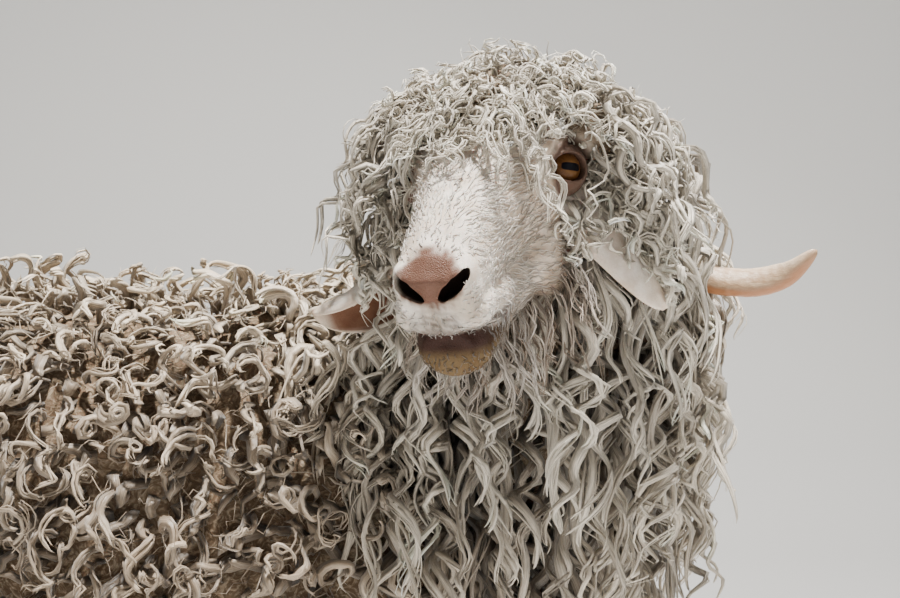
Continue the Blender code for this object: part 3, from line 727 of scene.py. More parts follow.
def fleece_colour(points: Array) -> Array:
    """The fleece's colour by place: cream on head and neck, dirtier beige on body and legs, with painted
    shade low on the body and under the throat.
    """
    local = head_local(points)
    x, z = points[:, 0], points[:, 2]
    throat = smooth_step(0.085, 0.125, -local[:, 2]) * smooth_step(-0.02, 0.03, local[:, 0])
    near_head = 1 - smooth_step(0.12, 0.30, np.linalg.norm(local, axis=1))
    return layered(
        np.tile(BEIGE, (len(points), 1)),
        (np.maximum(near_head, 0.75 * smooth_step(0.16, 0.26, x)), CREAM),
        (0.35 * (smooth_step(0.56, 0.66, z) * (1 - near_head)), BACK_STAIN),
        (0.45 * (1 - smooth_step(0.06, 0.30, z)), LEG_STAIN),
        # Low on the trunk: soiled fleece with painted shade, darker towards the bottom
        (0.72 * ((1 - smooth_step(0.40, 0.52, z)) * (1 - smooth_step(0.14, 0.24, x))), BELLY_SOIL_AND_SHADE),
        # Under the throat: stained fleece with painted shade under the head
        (0.55 * throat, THROAT_STAIN_AND_SHADE),
        (0.30 * (cells(points, 0.09, 3) * (1 - 0.6 * near_head)), SOIL),
    )


def face_zones(local: Array) -> tuple[Array, Array]:
    """The bare face's colours, with painted shade on its sides, jaw, chin and lips, and how hairless it is,
    from places in the head's frame.
    """
    x, y, z = local.T
    side = np.abs(y)
    turn = np.arctan2(y / MOUTH_HALF_WIDTH, np.maximum(x - MOUTH_BACK, 0) / MOUTH_REACH)
    below = mouth_line(turn) - z
    reach = smooth_step(0.092, 0.112, x)
    front = smooth_step(0.115, 0.138, x)
    lower_lip = smooth_step(-0.0010, 0.0008, below) * (1 - smooth_step(0.009, 0.017, below)) * reach
    centre = 1 - smooth_step(0.008, 0.027, side)
    above = smooth_step(0.0, 0.0012, -below)
    dusk = smooth_step(-0.026, -0.010, below) * centre * front * (0.40 + 0.60 * cells(local, 0.005, 9))
    edge = smooth_step(-0.0090, -0.0040, below) * reach
    pad_reach = np.sqrt(((x - 0.156) / 0.030) ** 2 + (y / 0.0215) ** 2 + ((z - 0.003) / 0.0195) ** 2)
    pad = 1 - smooth_step(0.80, 1.12, pad_reach + 0.16 * (cells(local, 0.006, 4) - 0.5))
    colours = layered(
        np.tile(WHITE_FUR, (len(local), 1)),
        # The face's sides behind the muzzle, tanned as painted shade
        (0.45 * (smooth_step(0.020, 0.040, side) * (1 - smooth_step(0.085, 0.115, x))), TAN_FUR_AND_SHADE),
        # The jaw's underside: tan fur with painted shade under the head
        (0.7 * (smooth_step(0.050, 0.075, -z) * (1 - smooth_step(0.03, 0.09, x))), TAN_FUR_AND_SHADE),
        # The chin below the mouth line: its fur with painted shade
        (smooth_step(0.0, 0.006, below) * smooth_step(0.075, 0.105, x), CHIN_FUR_AND_SHADE),
        # The lower lip: dusky skin with painted shade
        (lower_lip * (0.55 + 0.45 * front), LIP_AND_SHADE),
        # Above the mouth line: the upper lip's dusky speckles and a band along the line, in the lip colour
        # with its painted shade
        (above * np.maximum(0.85 * dusk, 0.8 * edge), 0.8 * LIP_AND_SHADE),
        (pad, NOSE),
    )
    bare = np.maximum(pad, np.maximum(0.8 * lower_lip * front, 0.70 * above * dusk))
    for eye in Side:
        around = 1 - smooth_step(0.0205, 0.0275, eye_gap(local, eye))
        colours = blended(colours, 0.9 * around, LID)
        bare = np.maximum(bare, 0.8 * around)
    return colours, bare


def face_tint(points: Array) -> Array:
    """The face's fur colour by place in the design frame, its bristles paler than a dark skin."""
    local = head_local(points)
    return blended(face_zones(local)[0], 0.18 * (local[:, 2] > -0.036), WHITE_FUR)


def jaw_tint(points: Array) -> Array:
    """The colour of the long fine hair, dusky tan under the throat, partly stain and partly painted shade."""
    local = head_local(points)
    under = smooth_step(0.062, 0.085, -local[:, 2]) * smooth_step(-0.01, 0.03, local[:, 0])
    # Under the throat: stained hair with painted shade
    return blended(face_tint(points), 0.8 * under, THROAT_HAIR_AND_SHADE)


# Forms under the coat


class Hide:
    """A skin form's surface, to root hair on and lay it along."""

    def __init__(self, form: Object) -> None:
        work = bmesh.new()
        work.from_mesh(form.data)
        bmesh.ops.triangulate(work, faces=work.faces)
        self.tree = BVHTree.FromBMesh(work)
        self.triangles = np.array([[tuple(v.co) for v in face.verts] for face in work.faces])
        work.free()

    def nearest(self, points: Array) -> tuple[Array, Array]:
        """The nearest places on the surface and its normals there."""
        places, normals = np.empty_like(points), np.empty_like(points)
        for k, point in enumerate(points):
            place, normal, _, _ = self.tree.find_nearest(point)
            places[k], normals[k] = place, normal
        return places, normals

    def height(self, points: Array) -> Array:
        """How far each point is off the surface, below zero inside it."""
        places, normals = self.nearest(points)
        return ((points - places) * normals).sum(1)

    def scatter(self, spacing: float, seed: int, keep: Keep) -> tuple[Array, Array]:
        """Places and normals at least one spacing apart.

        Args:
            spacing: The least distance between two places.
            seed: The random draw's seed.
            keep: Says of places and normals which are wanted.

        Returns:
            The places and the surface's normals there.
        """
        draw = np.random.default_rng(seed)
        a, b, c = self.triangles.swapaxes(0, 1)
        across = np.cross(b - a, c - a)
        areas = np.linalg.norm(across, axis=1) / 2
        tries = int(4.5 * areas.sum() / spacing**2)
        chosen = draw.choice(len(a), tries, p=areas / areas.sum())
        u, v = draw.random((2, tries, 1))
        flip = u + v > 1
        u, v = np.where(flip, 1 - u, u), np.where(flip, 1 - v, v)
        points = a[chosen] + u * (b - a)[chosen] + v * (c - a)[chosen]
        wanted = keep(points, unit(across[chosen]))
        points, chosen = points[wanted], chosen[wanted]
        tree = search_tree(points)
        free = np.ones(len(points), bool)
        kept = []
        for k, point in enumerate(points):
            if free[k]:
                kept.append(k)
                free[[entry[1] for entry in tree.find_range(point, spacing)]] = False
        return points[kept], unit(across[chosen][kept])


def torso_forms(grow: float) -> list[Object]:
    """The trunk's forms, from the croup to the breast, each let out by grow."""
    back = -0.585 * BACK_LENGTH
    stations = (
        # share of the back's length, top, bottom, half width
        (0.00, 0.53, 0.43, 0.050),
        (0.05, 0.575, 0.36, 0.095),
        (0.15, 0.600, 0.31, 0.122),
        (0.30, 0.606, 0.275, 0.136),
        (0.48, 0.598, 0.250, 0.150),
        (0.64, 0.594, 0.252, 0.144),
        (0.78, WITHERS, 0.275, 0.122),
        (0.88, 0.585, 0.300, 0.105),
        (0.96, 0.545, 0.335, 0.082),
        (1.00, 0.500, 0.375, 0.050),
    )
    rings = []
    for share, top, bottom, half in stations:
        centre = Vector((back + share * BACK_LENGTH, 0, (top + bottom) / 2))
        rings.append(oval(centre, Vector((0, 1, 0)), UP, half + grow, (top - bottom) / 2 + grow))
    forms = [loft(rings)]
    for side in Side:
        shoulder = mirrored((0.175, 0.078, 0.430), side)
        haunch = mirrored((-0.325, 0.078, 0.450), side)
        forms.append(ellipsoid(shoulder, (0.085 + grow, 0.050 + grow, 0.125 + grow)))
        forms.append(ellipsoid(haunch, (0.100 + grow, 0.060 + grow, 0.130 + grow)))
    return forms


NECK_STATIONS = (
    # centre, half width, half height
    ((0.190, 0.000, 0.455), 0.096, 0.130),
    ((0.265, -0.010, 0.505), 0.094, 0.118),
    ((0.320, -0.050, 0.560), 0.088, 0.100),
    ((0.343, -0.110, 0.622), 0.077, 0.084),
    ((0.333, -0.168, 0.674), 0.067, 0.070),
    ((0.315, -0.212, 0.700), 0.052, 0.054),
)


def neck_forms(grow: float) -> list[Object]:
    """The neck, from inside the breast to the back of the head."""
    centres = [Vector(centre) for centre, _, _ in NECK_STATIONS]
    last = len(centres) - 1
    rings = []
    for k, (_, half_side, half_up) in enumerate(NECK_STATIONS):
        ahead = (centres[min(k + 1, last)] - centres[max(k - 1, 0)]).normalized()
        side = UP.cross(ahead).normalized()
        swell = grow * min(1.0, 0.35 + 0.25 * (last - k))
        rings.append(oval(centres[k], side, ahead.cross(side), half_side + swell, half_up + swell))
    return [loft(rings)]


LEG_STATIONS = {
    # height, along, across, half length, half width
    "fore": (
        (0.440, 0.190, 0.074, 0.060, 0.042),
        (0.345, 0.160, 0.088, 0.045, 0.036),
        (0.270, 0.160, 0.089, 0.031, 0.028),
        (0.200, 0.168, 0.088, 0.025, 0.024),
        (0.165, 0.166, 0.088, 0.019, 0.019),
        (0.105, 0.164, 0.088, 0.016, 0.016),
        (0.072, 0.166, 0.088, 0.021, 0.021),
        (0.048, 0.175, 0.088, 0.019, 0.019),
        (0.030, 0.183, 0.088, 0.024, 0.022),
    ),
    "hind": (
        (0.450, -0.320, 0.074, 0.085, 0.046),
        (0.360, -0.300, 0.094, 0.070, 0.042),
        (0.290, -0.345, 0.094, 0.042, 0.031),
        (0.225, -0.400, 0.090, 0.026, 0.022),
        (0.175, -0.396, 0.088, 0.019, 0.018),
        (0.105, -0.384, 0.088, 0.016, 0.016),
        (0.072, -0.382, 0.088, 0.021, 0.021),
        (0.048, -0.371, 0.088, 0.019, 0.019),
        (0.030, -0.362, 0.088, 0.024, 0.022),
    ),
}


def leg_forms(pair: str, side: Side) -> list[Object]:
    """One leg down into its hooves, with the two dewclaws behind the fetlock."""
    stations = LEG_STATIONS[pair]
    rings = [
        oval(Vector((x, y * side.value, z)), Vector((1, 0, 0)), Vector((0, 1, 0)), length, width)
        for z, x, y, length, width in stations
    ]
    fetlock = Vector((stations[6][1], stations[6][2] * side.value, stations[6][0]))
    claws = [
        ellipsoid(fetlock + Vector((-0.019, 0.010 * out, -0.006)), (0.008, 0.006, 0.010)) for out in (1, -1)
    ]
    return [loft(rings), *claws]


TAIL_ROUTE = (Vector((-0.425, 0, 0.560)), Vector((-0.505, 0, 0.590)), Vector((-0.530, 0, 0.520)))


def tail_forms() -> list[Object]:
    """The short raised tail."""
    rings = []
    for k in range(8):
        share = k / 7
        before = bezier(*TAIL_ROUTE, max(share - 0.1, 0))
        ahead = (bezier(*TAIL_ROUTE, min(share + 0.1, 1)) - before).normalized()
        side = Vector((0, 1, 0))
        size = 0.022 - 0.012 * share
        rings.append(oval(bezier(*TAIL_ROUTE, share), side, ahead.cross(side), size, size * 0.8, 16))
    return [loft(rings)]


HEAD_UPPER = (
    # along, top, bottom, half width
    (-0.102, -0.006, -0.050, 0.032),
    (-0.082, 0.012, -0.062, 0.045),
    (-0.055, 0.030, -0.062, 0.050),
    (-0.015, 0.045, -0.055, 0.052),
    (0.020, 0.040, -0.050, 0.048),
    (0.050, 0.032, -0.046, 0.037),
    (0.085, 0.026, -0.042, 0.030),
    (0.118, 0.021, -0.040, 0.028),
    (0.140, 0.013, -0.037, 0.026),
    (0.152, 0.003, -0.034, 0.020),
)
HEAD_LOWER = (
    # the same, for the lower jaw
    (-0.058, -0.030, -0.088, 0.030),
    (-0.025, -0.030, -0.094, 0.038),
    (0.030, -0.030, -0.082, 0.035),
    (0.075, -0.030, -0.072, 0.028),
    (0.112, -0.030, -0.071, 0.026),
    (0.134, -0.032, -0.072, 0.023),
    (0.145, -0.036, -0.064, 0.016),
)


def head_forms() -> list[Object]:
    """The bare head in its own frame: skull and muzzle, jaw, brows, cheeks, lips and lids."""
    forms = []
    for stations in (HEAD_UPPER, HEAD_LOWER):
        rings = []
        for along, top, bottom, half in stations:
            centre = Vector((along, 0, (top + bottom) / 2))
            rings.append(oval(centre, Vector((0, 1, 0)), UP, half, (top - bottom) / 2))
        forms.append(loft(rings))
    for side in Side:
        hand = side.value
        forms += [
            ellipsoid(mirrored(EYE_CENTRE, side), (LID_RADIUS,) * 3),
            ellipsoid((-0.010, 0.040 * hand, 0.016), (0.026, 0.014, 0.011)),
            ellipsoid((0.000, 0.034 * hand, -0.050), (0.050, 0.017, 0.034)),
            ellipsoid((0.135, 0.016 * hand, -0.003), (0.018, 0.010, 0.013)),
            ellipsoid((0.130, 0.017 * hand, -0.026), (0.021, 0.014, 0.012)),
            ellipsoid((0.104, 0.020 * hand, -0.036), (0.026, 0.012, 0.016)),
        ]
    forms.append(ellipsoid((0.131, 0, -0.054), (0.018, 0.021, 0.017)))
    return forms


def nostril_ends(side: Side) -> tuple[Vector, Vector]:
    """The inner and outer end of a nostril, in the head's frame."""
    return mirrored((0.152, 0.0040, -0.011), side), mirrored((0.139, 0.0225, 0.004), side)


def nostril_cutters() -> list[Object]:
    """The slanting nostrils, in the head's frame."""
    cutters = []
    for side in Side:
        start, end = nostril_ends(side)
        turn = basis(end - start, Vector((1, 0, 0)))
        cutters.append(ellipsoid((start + end) / 2, (0.0130, 0.0052, 0.013), turn))
    return cutters


def mouth_line(turn: Array) -> Array:
    """The height between the lips at a turn from the muzzle's front, in the head's frame."""
    return -0.0358 - 0.0070 * np.sin(turn) ** 2


def mouth_cutter() -> Object:
    """A thin curved blade along the line between the lips, from corner to corner."""
    rings = []
    for k in range(-12, 13):
        turn = math.radians(85 / 12) * k
        out = Vector((math.cos(turn), math.sin(turn), 0))
        along, across = MOUTH_BACK + MOUTH_REACH * math.cos(turn), MOUTH_HALF_WIDTH * math.sin(turn)
        rim = Vector((along, across, float(mouth_line(turn))))
        rings.append([rim + out * 0.010, rim + UP * 0.0012, rim - out * 0.008, rim - UP * 0.0012])
    return loft(rings)


def lid_cutters() -> list[Object]:
    """The almond openings between the lids."""
    cutters = []
    for side in Side:
        axis = mirrored(EYE_AXIS, side)
        centre = mirrored(EYE_CENTRE, side) + axis * EYE_RADIUS * 1.2
        cutters.append(ellipsoid(centre, (0.014, 0.0138, 0.0098), basis(axis, Vector((-0.45, 0, 0.9)))))
    return cutters


WIG_ROWS = (
    # along, height, half spread, clumps, size
    (0.045, 0.032, 0.015, 2, 0.014),
    (0.018, 0.041, 0.024, 2, 0.018),
    (-0.004, 0.047, 0.034, 3, 0.021),
    (-0.026, 0.054, 0.046, 3, 0.027),
    (-0.058, 0.050, 0.060, 3, 0.031),
    (-0.088, 0.028, 0.046, 2, 0.032),
)
WIG_SIDES = (
    # along, across, height, size
    (-0.034, 0.076, 0.010, 0.028),
    (-0.062, 0.092, -0.018, 0.031),
    (-0.030, 0.070, -0.040, 0.026),
    (-0.066, 0.074, -0.064, 0.030),
)


def wig_forms(share: float) -> list[Object]:
    """The dense base of the head's curls, at a share of the full clumps, in the head's frame."""
    forms = [ellipsoid((-0.055, 0, -0.006), (0.046, 0.064, 0.044))]
    for along, height, spread, count, size in WIG_ROWS:
        for k in range(count):
            out = 2 * (k + 0.5) / count - 1
            place = (along, spread * out, height - 0.026 * out * out - 0.6 * size)
            forms.append(ellipsoid(place, (size * share * 1.1, size * share * 1.1, size * share)))
    for side in Side:
        for along, across, height, size in WIG_SIDES:
            place = (along, (across - 0.35 * size) * side.value, height)
            forms.append(ellipsoid(place, (size * share,) * 3))
    return forms


# Ears


@dataclass
class Ear:
    """A drooping, cupped ear: an open leaf curled across its width, given a wall."""

    side: Side
    width: float = 0.072
    wall: float = 0.0034
    rows: int = 46
    columns: int = 26

    def route(self) -> tuple[Vector, Vector, Vector, Vector]:
        """The root, bend and tip, and the way its cup faces, in the head's frame."""
        root = Vector((-0.052, 0.040 * self.side.value, -0.010))
        if self.side is Side.LEFT:
            rest = ((-0.020, 0.078, -0.020), (0.008, 0.107, -0.104), (0.38, -0.50, -0.78))
        else:
            rest = ((-0.012, -0.082, -0.086), (0.018, -0.146, -0.090), (0.75, 0.05, -0.72))
        return root, *(Vector(row) for row in rest)

    def half_width(self, share: float) -> float:
        """Half its width at a share of its length: narrow at the root, rounded at the tip."""
        half = 0.5 * self.width * (0.40 + 0.60 * math.sin(0.5 * math.pi * min(1.0, 2.0 * share)))
        if share > 0.62:
            half *= math.sqrt(max(0.012, 1 - ((share - 0.62) / 0.385) ** 2))
        return half

    def build(self) -> Object:
        """Builds the ear in the head's frame, with its colours."""
        root, bend, tip, facing = self.route()
        inner: list[Vector] = []
        outer: list[Vector] = []
        shares: list[float] = []
        edges: list[float] = []
        for row in range(self.rows):
            share = row / (self.rows - 1)
            before = bezier(root, bend, tip, max(share - 0.05, 0))
            ahead = (bezier(root, bend, tip, min(share + 0.05, 1)) - before).normalized()
            mouth = (facing - ahead * facing.dot(ahead)).normalized()
            across = ahead.cross(mouth)
            curl = math.radians(100 - 45 * share)
            radius = self.half_width(share) / math.sin(min(curl, math.pi / 2))
            for column in range(self.columns):
                at = 2 * column / (self.columns - 1) - 1
                turn = curl * at
                inward = mouth * math.cos(turn) - across * math.sin(turn)
                ripple = 0.0009 * math.sin(9 * at + 14 * share) * (1 - at * at)
                place = bezier(root, bend, tip, share) + across * radius * math.sin(turn)
                place += mouth * radius * (1 - math.cos(turn)) + inward * ripple
                rim = (1 - at**6) ** 0.5 * (1 - share**14) ** 0.5
                wall = 0.5 * self.wall * (0.30 + 0.70 * rim)
                inner.append(place + inward * wall)
                outer.append(place - inward * wall)
                shares.append(share)
                edges.append(max(abs(at), share if share > 0.7 else 0.0))
        points = inner + outer
        size, columns = len(inner), self.columns
        faces: list[tuple[int, ...]] = []
        for r in range(self.rows - 1):
            for c in range(columns - 1):
                a, b = r * columns + c, r * columns + c + 1
                faces.append((a, b, b + columns, a + columns))
                faces.append((size + a, size + a + columns, size + b + columns, size + b))
        border = [c for c in range(columns)]
        border += [r * columns + columns - 1 for r in range(1, self.rows)]
        border += [(self.rows - 1) * columns + c for c in range(columns - 2, -1, -1)]
        border += [r * columns for r in range(self.rows - 2, 0, -1)]
        for a, b in zip(border, border[1:] + border[:1]):
            faces.append((a, size + a, size + b, b))
        mesh = raw_mesh(points, faces)
        share = np.array(shares + shares)
        edge = np.array(edges + edges)
        within = np.r_[np.ones(size), np.zeros(size)]
        set_colours(mesh, "hide", layered(
            np.tile(EAR_BACK, (len(points), 1)),
            (within, EAR_INSIDE),
            (within * smooth_step(0.90, 0.99, edge), EAR_RIM),
            (0.9 * (1 - within) * smooth_step(0.80, 0.98, edge), EAR_RIM),
        ))
        set_values(mesh, "bare", within * 0.6 * smooth_step(0.1, 0.4, share))
        with editing(mesh) as work:
            bmesh.ops.recalc_face_normals(work, faces=work.faces)
        return new_object("ear", mesh)


@dataclass
class Body:
    """The one skin under the coat, in place of every node of flesh."""

    hides: dict[str, Hide] = field(default_factory=dict)
    ears: list[Ear] = field(default_factory=lambda: [Ear(side) for side in Side])

    def trunk(self) -> Object:
        """Trunk, neck, legs and tail as one surface."""
        parts = {
            "torso": fused(torso_forms(SKIN_UNDER_COAT), 0.007, 8),
            "neck": fused(neck_forms(SKIN_UNDER_COAT), 0.007, 6),
            "tail": fused(tail_forms(), 0.004, 3),
        }
        for pair in LEG_STATIONS:
            for side in Side:
                parts[f"{pair}_{side.word}"] = fused(leg_forms(pair, side), 0.004, 3)
        for name, part in parts.items():
            self.hides[name] = Hide(part)
        return fused(list(parts.values()), 0.0062, 3)

    def head(self) -> Object:
        """The head as one surface, its mouth, nostrils and lids cut, with the base of its curls."""
        face = fused(head_forms(), 0.0020, 7)
        self.hides["face"] = Hide(face)
        face = combined(face, [*nostril_cutters(), mouth_cutter(), *lid_cutters()], "DIFFERENCE")
        for side in Side:
            size = 0.027 if side is Side.LEFT else 0.016
            centre = mirrored(EYE_CENTRE, side) + mirrored(EYE_AXIS, side) * 0.018
            self.hides[f"guard_{side.word}"] = Hide(ellipsoid(centre, (size, size, 0.8 * size), detail=3))
        wig = fused(wig_forms(0.72), 0.004, 6)
        self.hides["wig"] = Hide(wig)
        face = combined(face, [wig], "UNION")
        return placed([face], HEAD)[0]

    def fold(self, mesh: Mesh) -> None:
        """Adds lumps to the body's wool, and to the face wrinkled lids, a creased muzzle and a split lip."""
        points, normals = vertex_rows(mesh), vertex_rows(mesh, "normal")
        local = head_local(points)
        x, y, z = local.T
        depth = np.zeros(len(points))
        muzzle = smooth_step(0.09, 0.12, x) * (np.abs(y) < 0.06) * (np.abs(z) < 0.12)
        depth += 0.0007 * muzzle * (cells(local, 0.011, 5) - 0.5)
        side = np.abs(y)
        for eye in Side:
            gap = eye_gap(local, eye)
            lid = np.exp(-(((gap - 0.0225) / 0.006) ** 2))
            depth += 0.0009 * lid * np.sin(TAU * gap / 0.0042)
        bridge = np.exp(-((y / 0.012) ** 2)) * smooth_step(0.02, 0.06, x) * (1 - smooth_step(0.10, 0.13, x))
        depth += 0.0003 * bridge * (z > 0)
        groove = np.exp(-((side - 0.027) / 0.006) ** 2) * smooth_step(0.03, 0.06, x)
        depth -= 0.0012 * groove * (1 - smooth_step(0.10, 0.12, x)) * (z > -0.03)
        split = np.exp(-((y / 0.0016) ** 2)) * smooth_step(0.140, 0.147, x) * (z < -0.010) * (z > -0.037)
        depth -= 0.0022 * split
        trunk = 1 - smooth_step(0.14, 0.20, np.linalg.norm(local, axis=1))
        body = (1 - trunk) * smooth_step(0.20, 0.30, points[:, 2])
        depth += body * 0.010 * (cells(points, 0.055, 8) - 0.5)
        points = points + normals * depth[:, None]
        mesh.vertices.foreach_set("co", points.ravel())

    def paint(self, mesh: Mesh) -> None:
        """Gives the skin the same markings as its coat, painted dark as shade between the locks, with painted
        shade in the cut mouth, nostrils and lid openings.
        """
        points = vertex_rows(mesh)
        local = head_local(points)
        colours = fleece_colour(points)
        # The skin under the locks painted dark: painted shade in the gaps between them
        colours = blended(colours, np.full(len(points), 0.90), 0.55 * DIRT_AND_SHADE)
        shank = 1 - smooth_step(0.13, 0.20, points[:, 2])
        colours = blended(colours, shank, SHANK)
        zones, bare = face_zones(local)
        near_face = (np.linalg.norm(local, axis=1) < 0.19) & (local[:, 0] > -0.03)
        wig_height = np.full(len(points), 1.0)
        wig_height[near_face] = self.hides["wig"].height(local[near_face])
        share = near_face * smooth_step(0.0005, 0.004, wig_height) * smooth_step(-0.03, -0.01, local[:, 0])
        under_jaw = smooth_step(0.095, 0.115, -local[:, 2])
        share = share * (1 - under_jaw)
        for side in Side:
            share = np.maximum(share, 1 - smooth_step(0.024, 0.030, eye_gap(local, side)))
        colours = blended(colours, share, zones)
        cut = np.zeros(len(points))
        cut[near_face] = smooth_step(0.0008, 0.0040, -self.hides["face"].height(local[near_face]))
        # Painted shade inside the cut mouth and nostrils
        inside = cut * (local[:, 0] > 0.08)
        colours = blended(colours, inside, HOLE_SHADE)
        # Painted shade inside the lid openings
        colours = blended(colours, 0.8 * cut * (local[:, 0] < 0.04) * share, 0.5 * LID)
        set_colours(mesh, "hide", colours)
        set_values(mesh, "bare", bare * share)
        set_values(mesh, "wool", (1 - share) * smooth_step(0.15, 0.22, points[:, 2]))

    def build(self, material: Material) -> Object:
        """Builds the skin piece."""
        ears = [ear.build() for ear in self.ears]
        for ear, form in zip(self.ears, ears):
            self.hides[f"ear_{ear.side.word}"] = Hide(form)
        trunk, head = self.trunk(), self.head()
        whole = combined(trunk, [head], "UNION")
        mesh = whole.data
        self.fold(mesh)
        self.paint(mesh)
        whole = joined([whole, *placed(ears, HEAD)])
        flesh = ["torso", "neck", "head", "tail"]
        flesh += [f"{part}_{side.word}" for part in ("ear", "foreleg", "hindleg") for side in Side]
        return dressed("skin", whole.data, material, flesh)


# The coat


@dataclass(frozen=True)
class Lay:
    """How a coat's locks leave the skin and lie over it."""

    length: float
    vary: float = 0.25
    stand: float = 1.0  # how steeply it leaves the skin
    lift: float = 0.010  # the least height over the skin, at its tip
    most: float = 1.0  # the most height
    messy: float = 0.3
    steps: int = 8


@dataclass(frozen=True)
class Curl:
    """How a lock's strands curl, and how thick they are."""

    radius: float
    pitch: float
    spread: float
    width: float
    strands: int
    points: int
    flat: float = 0.7
    frizz: float = 0.0010
    loose: float = 0.35  # how unlike each other the turns and radii are
    tilt: tuple[float, float] = (0.0, 0.3)  # the least and most that the coil's plane leans over
    wander: float = 0.0
    open_at: float = 0.3  # the share of its length where the curl is at full radius
    mixed: float = 0.25  # how unlike each other the strands' thicknesses are


FUZZ = Curl(0.0040, 0.036, 0.0030, 0.0010, 1, 6, flat=0.8, tilt=(0.0, 1.57), loose=0.8, open_at=0.1)
CORNERS = 3  # of a strand's rings
MOST_TRIANGLES = 190_000
PATCH = 0.003  # a strand's size on the bake map
FIBRE_LENGTH = 0.12  # of hair to one unit of the fibre vector


@dataclass
class Coat:
    """Strands of one kind, gathered as arrays and made into pieces."""

    name: str
    batches: list[tuple[float, list[Array]]] = field(default_factory=list)

    def add(self, flat: float, *rows: Array) -> None:
        """Adds strands: how flat they are, and rows of what strand_mesh takes of each."""
        self.batches.append((flat, list(rows)))

    def build(self, material: Material, slot: Slot) -> None:
        """Makes the pieces, each under MOST_TRIANGLES."""
        number = 0
        for flat, rows in self.batches:
            strands, points = rows[0].shape[:2]
            each = (points - 2) * CORNERS * 2 + CORNERS + CORNERS - 2
            count = max(1, math.ceil(strands * each / MOST_TRIANGLES))
            for part in range(count):
                number += 1
                mesh = strand_mesh(flat, *(row[part::count] for row in rows))
                dressed(f"{self.name}_{number}", mesh, material)


def strand_mesh(
    flat: float, paths: Array, radii: Array, outs: Array, colours: Array, roots: Array
) -> Mesh:
    """Sweeps a small ring along every path, closed at its root and pointed at its tip.

    Args:
        flat: The height of a ring against its width.
        paths: The strands' points, as strands by points by 3.
        radii: Half widths, as strands by points.
        outs: A way outwards for each strand's first ring.
        colours: Colours, as strands by points by 3.
        roots: Each strand's place on the unwrapped skin.

    Returns:
        The mesh, with its tuft colours, fibre vectors and bake map.
    """
    count, points, _ = paths.shape
    rings = points - 1
    ahead = unit(np.gradient(paths, axis=1))
    up = np.empty((count, points, 3))
    way = outs
    for k in range(points):
        way = unit(way - ahead[:, k] * (way * ahead[:, k]).sum(1)[:, None])
        up[:, k] = way
    side = np.cross(ahead, up)
    turns = TAU * np.arange(CORNERS) / CORNERS
    cos, sin = np.cos(turns)[None, None, :, None], np.sin(turns)[None, None, :, None]
    width = radii[:, :rings, None, None]
    ring = paths[:, :rings, None] + width * (side[:, :rings, None] * cos + flat * up[:, :rings, None] * sin)
    vertices = np.concatenate([ring.reshape(count, rings * CORNERS, 3), paths[:, -1:]], axis=1)
    each = rings * CORNERS + 1
    k = np.arange(CORNERS)
    after = (k + 1) % CORNERS
    row = np.arange(rings - 1)[:, None] * CORNERS
    quads = np.stack([row + k, row + after, row + CORNERS + after, row + CORNERS + k], -1).reshape(-1, 4)
    top = (rings - 1) * CORNERS
    tips = np.stack([top + k, top + after, np.full(CORNERS, each - 1)], -1)
    base = np.arange(count)[:, None, None] * each
    parts = (quads, tips, k[::-1][None])
    loops = np.concatenate([(part + base).reshape(count, -1) for part in parts], axis=1).ravel()
    sizes = np.r_[np.full(len(quads), 4), np.full(CORNERS, 3), CORNERS]
    totals = np.tile(sizes, count)
    mesh = bpy.data.meshes.new("strands")
    mesh.vertices.add(count * each)
    mesh.vertices.foreach_set("co", vertices.astype(np.float32).ravel())
    mesh.loops.add(len(loops))
    mesh.loops.foreach_set("vertex_index", loops.astype(np.int32))
    mesh.polygons.add(len(totals))
    mesh.polygons.foreach_set("loop_start", np.r_[0, np.cumsum(totals)[:-1]].astype(np.int32))
    mesh.update(calc_edges=True)
    mesh.validate()
    share = np.r_[np.repeat(np.linspace(0, 1, points)[:rings], CORNERS), 1.0]
    steps = np.linalg.norm(np.diff(paths, axis=1), axis=2)
    lengths = np.concatenate([np.zeros((count, 1)), np.cumsum(steps, axis=1)], axis=1)
    along, tint = (
        np.concatenate([np.repeat(rows[:, :rings], CORNERS, axis=1), rows[:, -1:]], axis=1)
        for rows in (lengths, colours)
    )
    set_colours(mesh, "tuft", tint.reshape(-1, 3))
    around = np.r_[np.tile(turns, rings), 0.0]
    fibre = np.empty((count, each, 3))
    fibre[:, :, 0] = np.cos(around) + np.arange(count)[:, None] * 7.31
    fibre[:, :, 1] = np.sin(around) + np.arange(count)[:, None] * 3.77
    fibre[:, :, 2] = along / FIBRE_LENGTH
    set_vectors(mesh, "fibre", fibre.reshape(-1, 3))
    patch = np.empty((count, each, 2))
    patch[:, :, 0] = roots[:, 0, None] + PATCH * (np.r_[np.tile(k / CORNERS, rings), 0.5] - 0.5)
    patch[:, :, 1] = roots[:, 1, None] + PATCH * (share - 0.5)
    layer = mesh.uv_layers.new(name="OFBake")
    layer.data.foreach_set("uv", patch.reshape(-1, 2)[loops].astype(np.float32).ravel())
    return mesh


def resampled(points: Array, count: int) -> Array:
    """Each guide's points as a smooth curve of another count."""
    have = points.shape[1]
    at = np.linspace(0, have - 1, count)
    weights = np.zeros((count, have))
    for row, place in enumerate(at):
        base = min(int(place), have - 2)
        t = place - base
        parts = (
            (base - 1, (1 - t) ** 3 / 6), (base, (3 * t**3 - 6 * t**2 + 4) / 6),
            (base + 1, (-3 * t**3 + 3 * t**2 + 3 * t + 1) / 6), (base + 2, t**3 / 6),
        )
        for index, weight in parts:
            weights[row, min(max(index, 0), have - 1)] += weight
    return np.einsum("nm,smk->snk", weights, points)


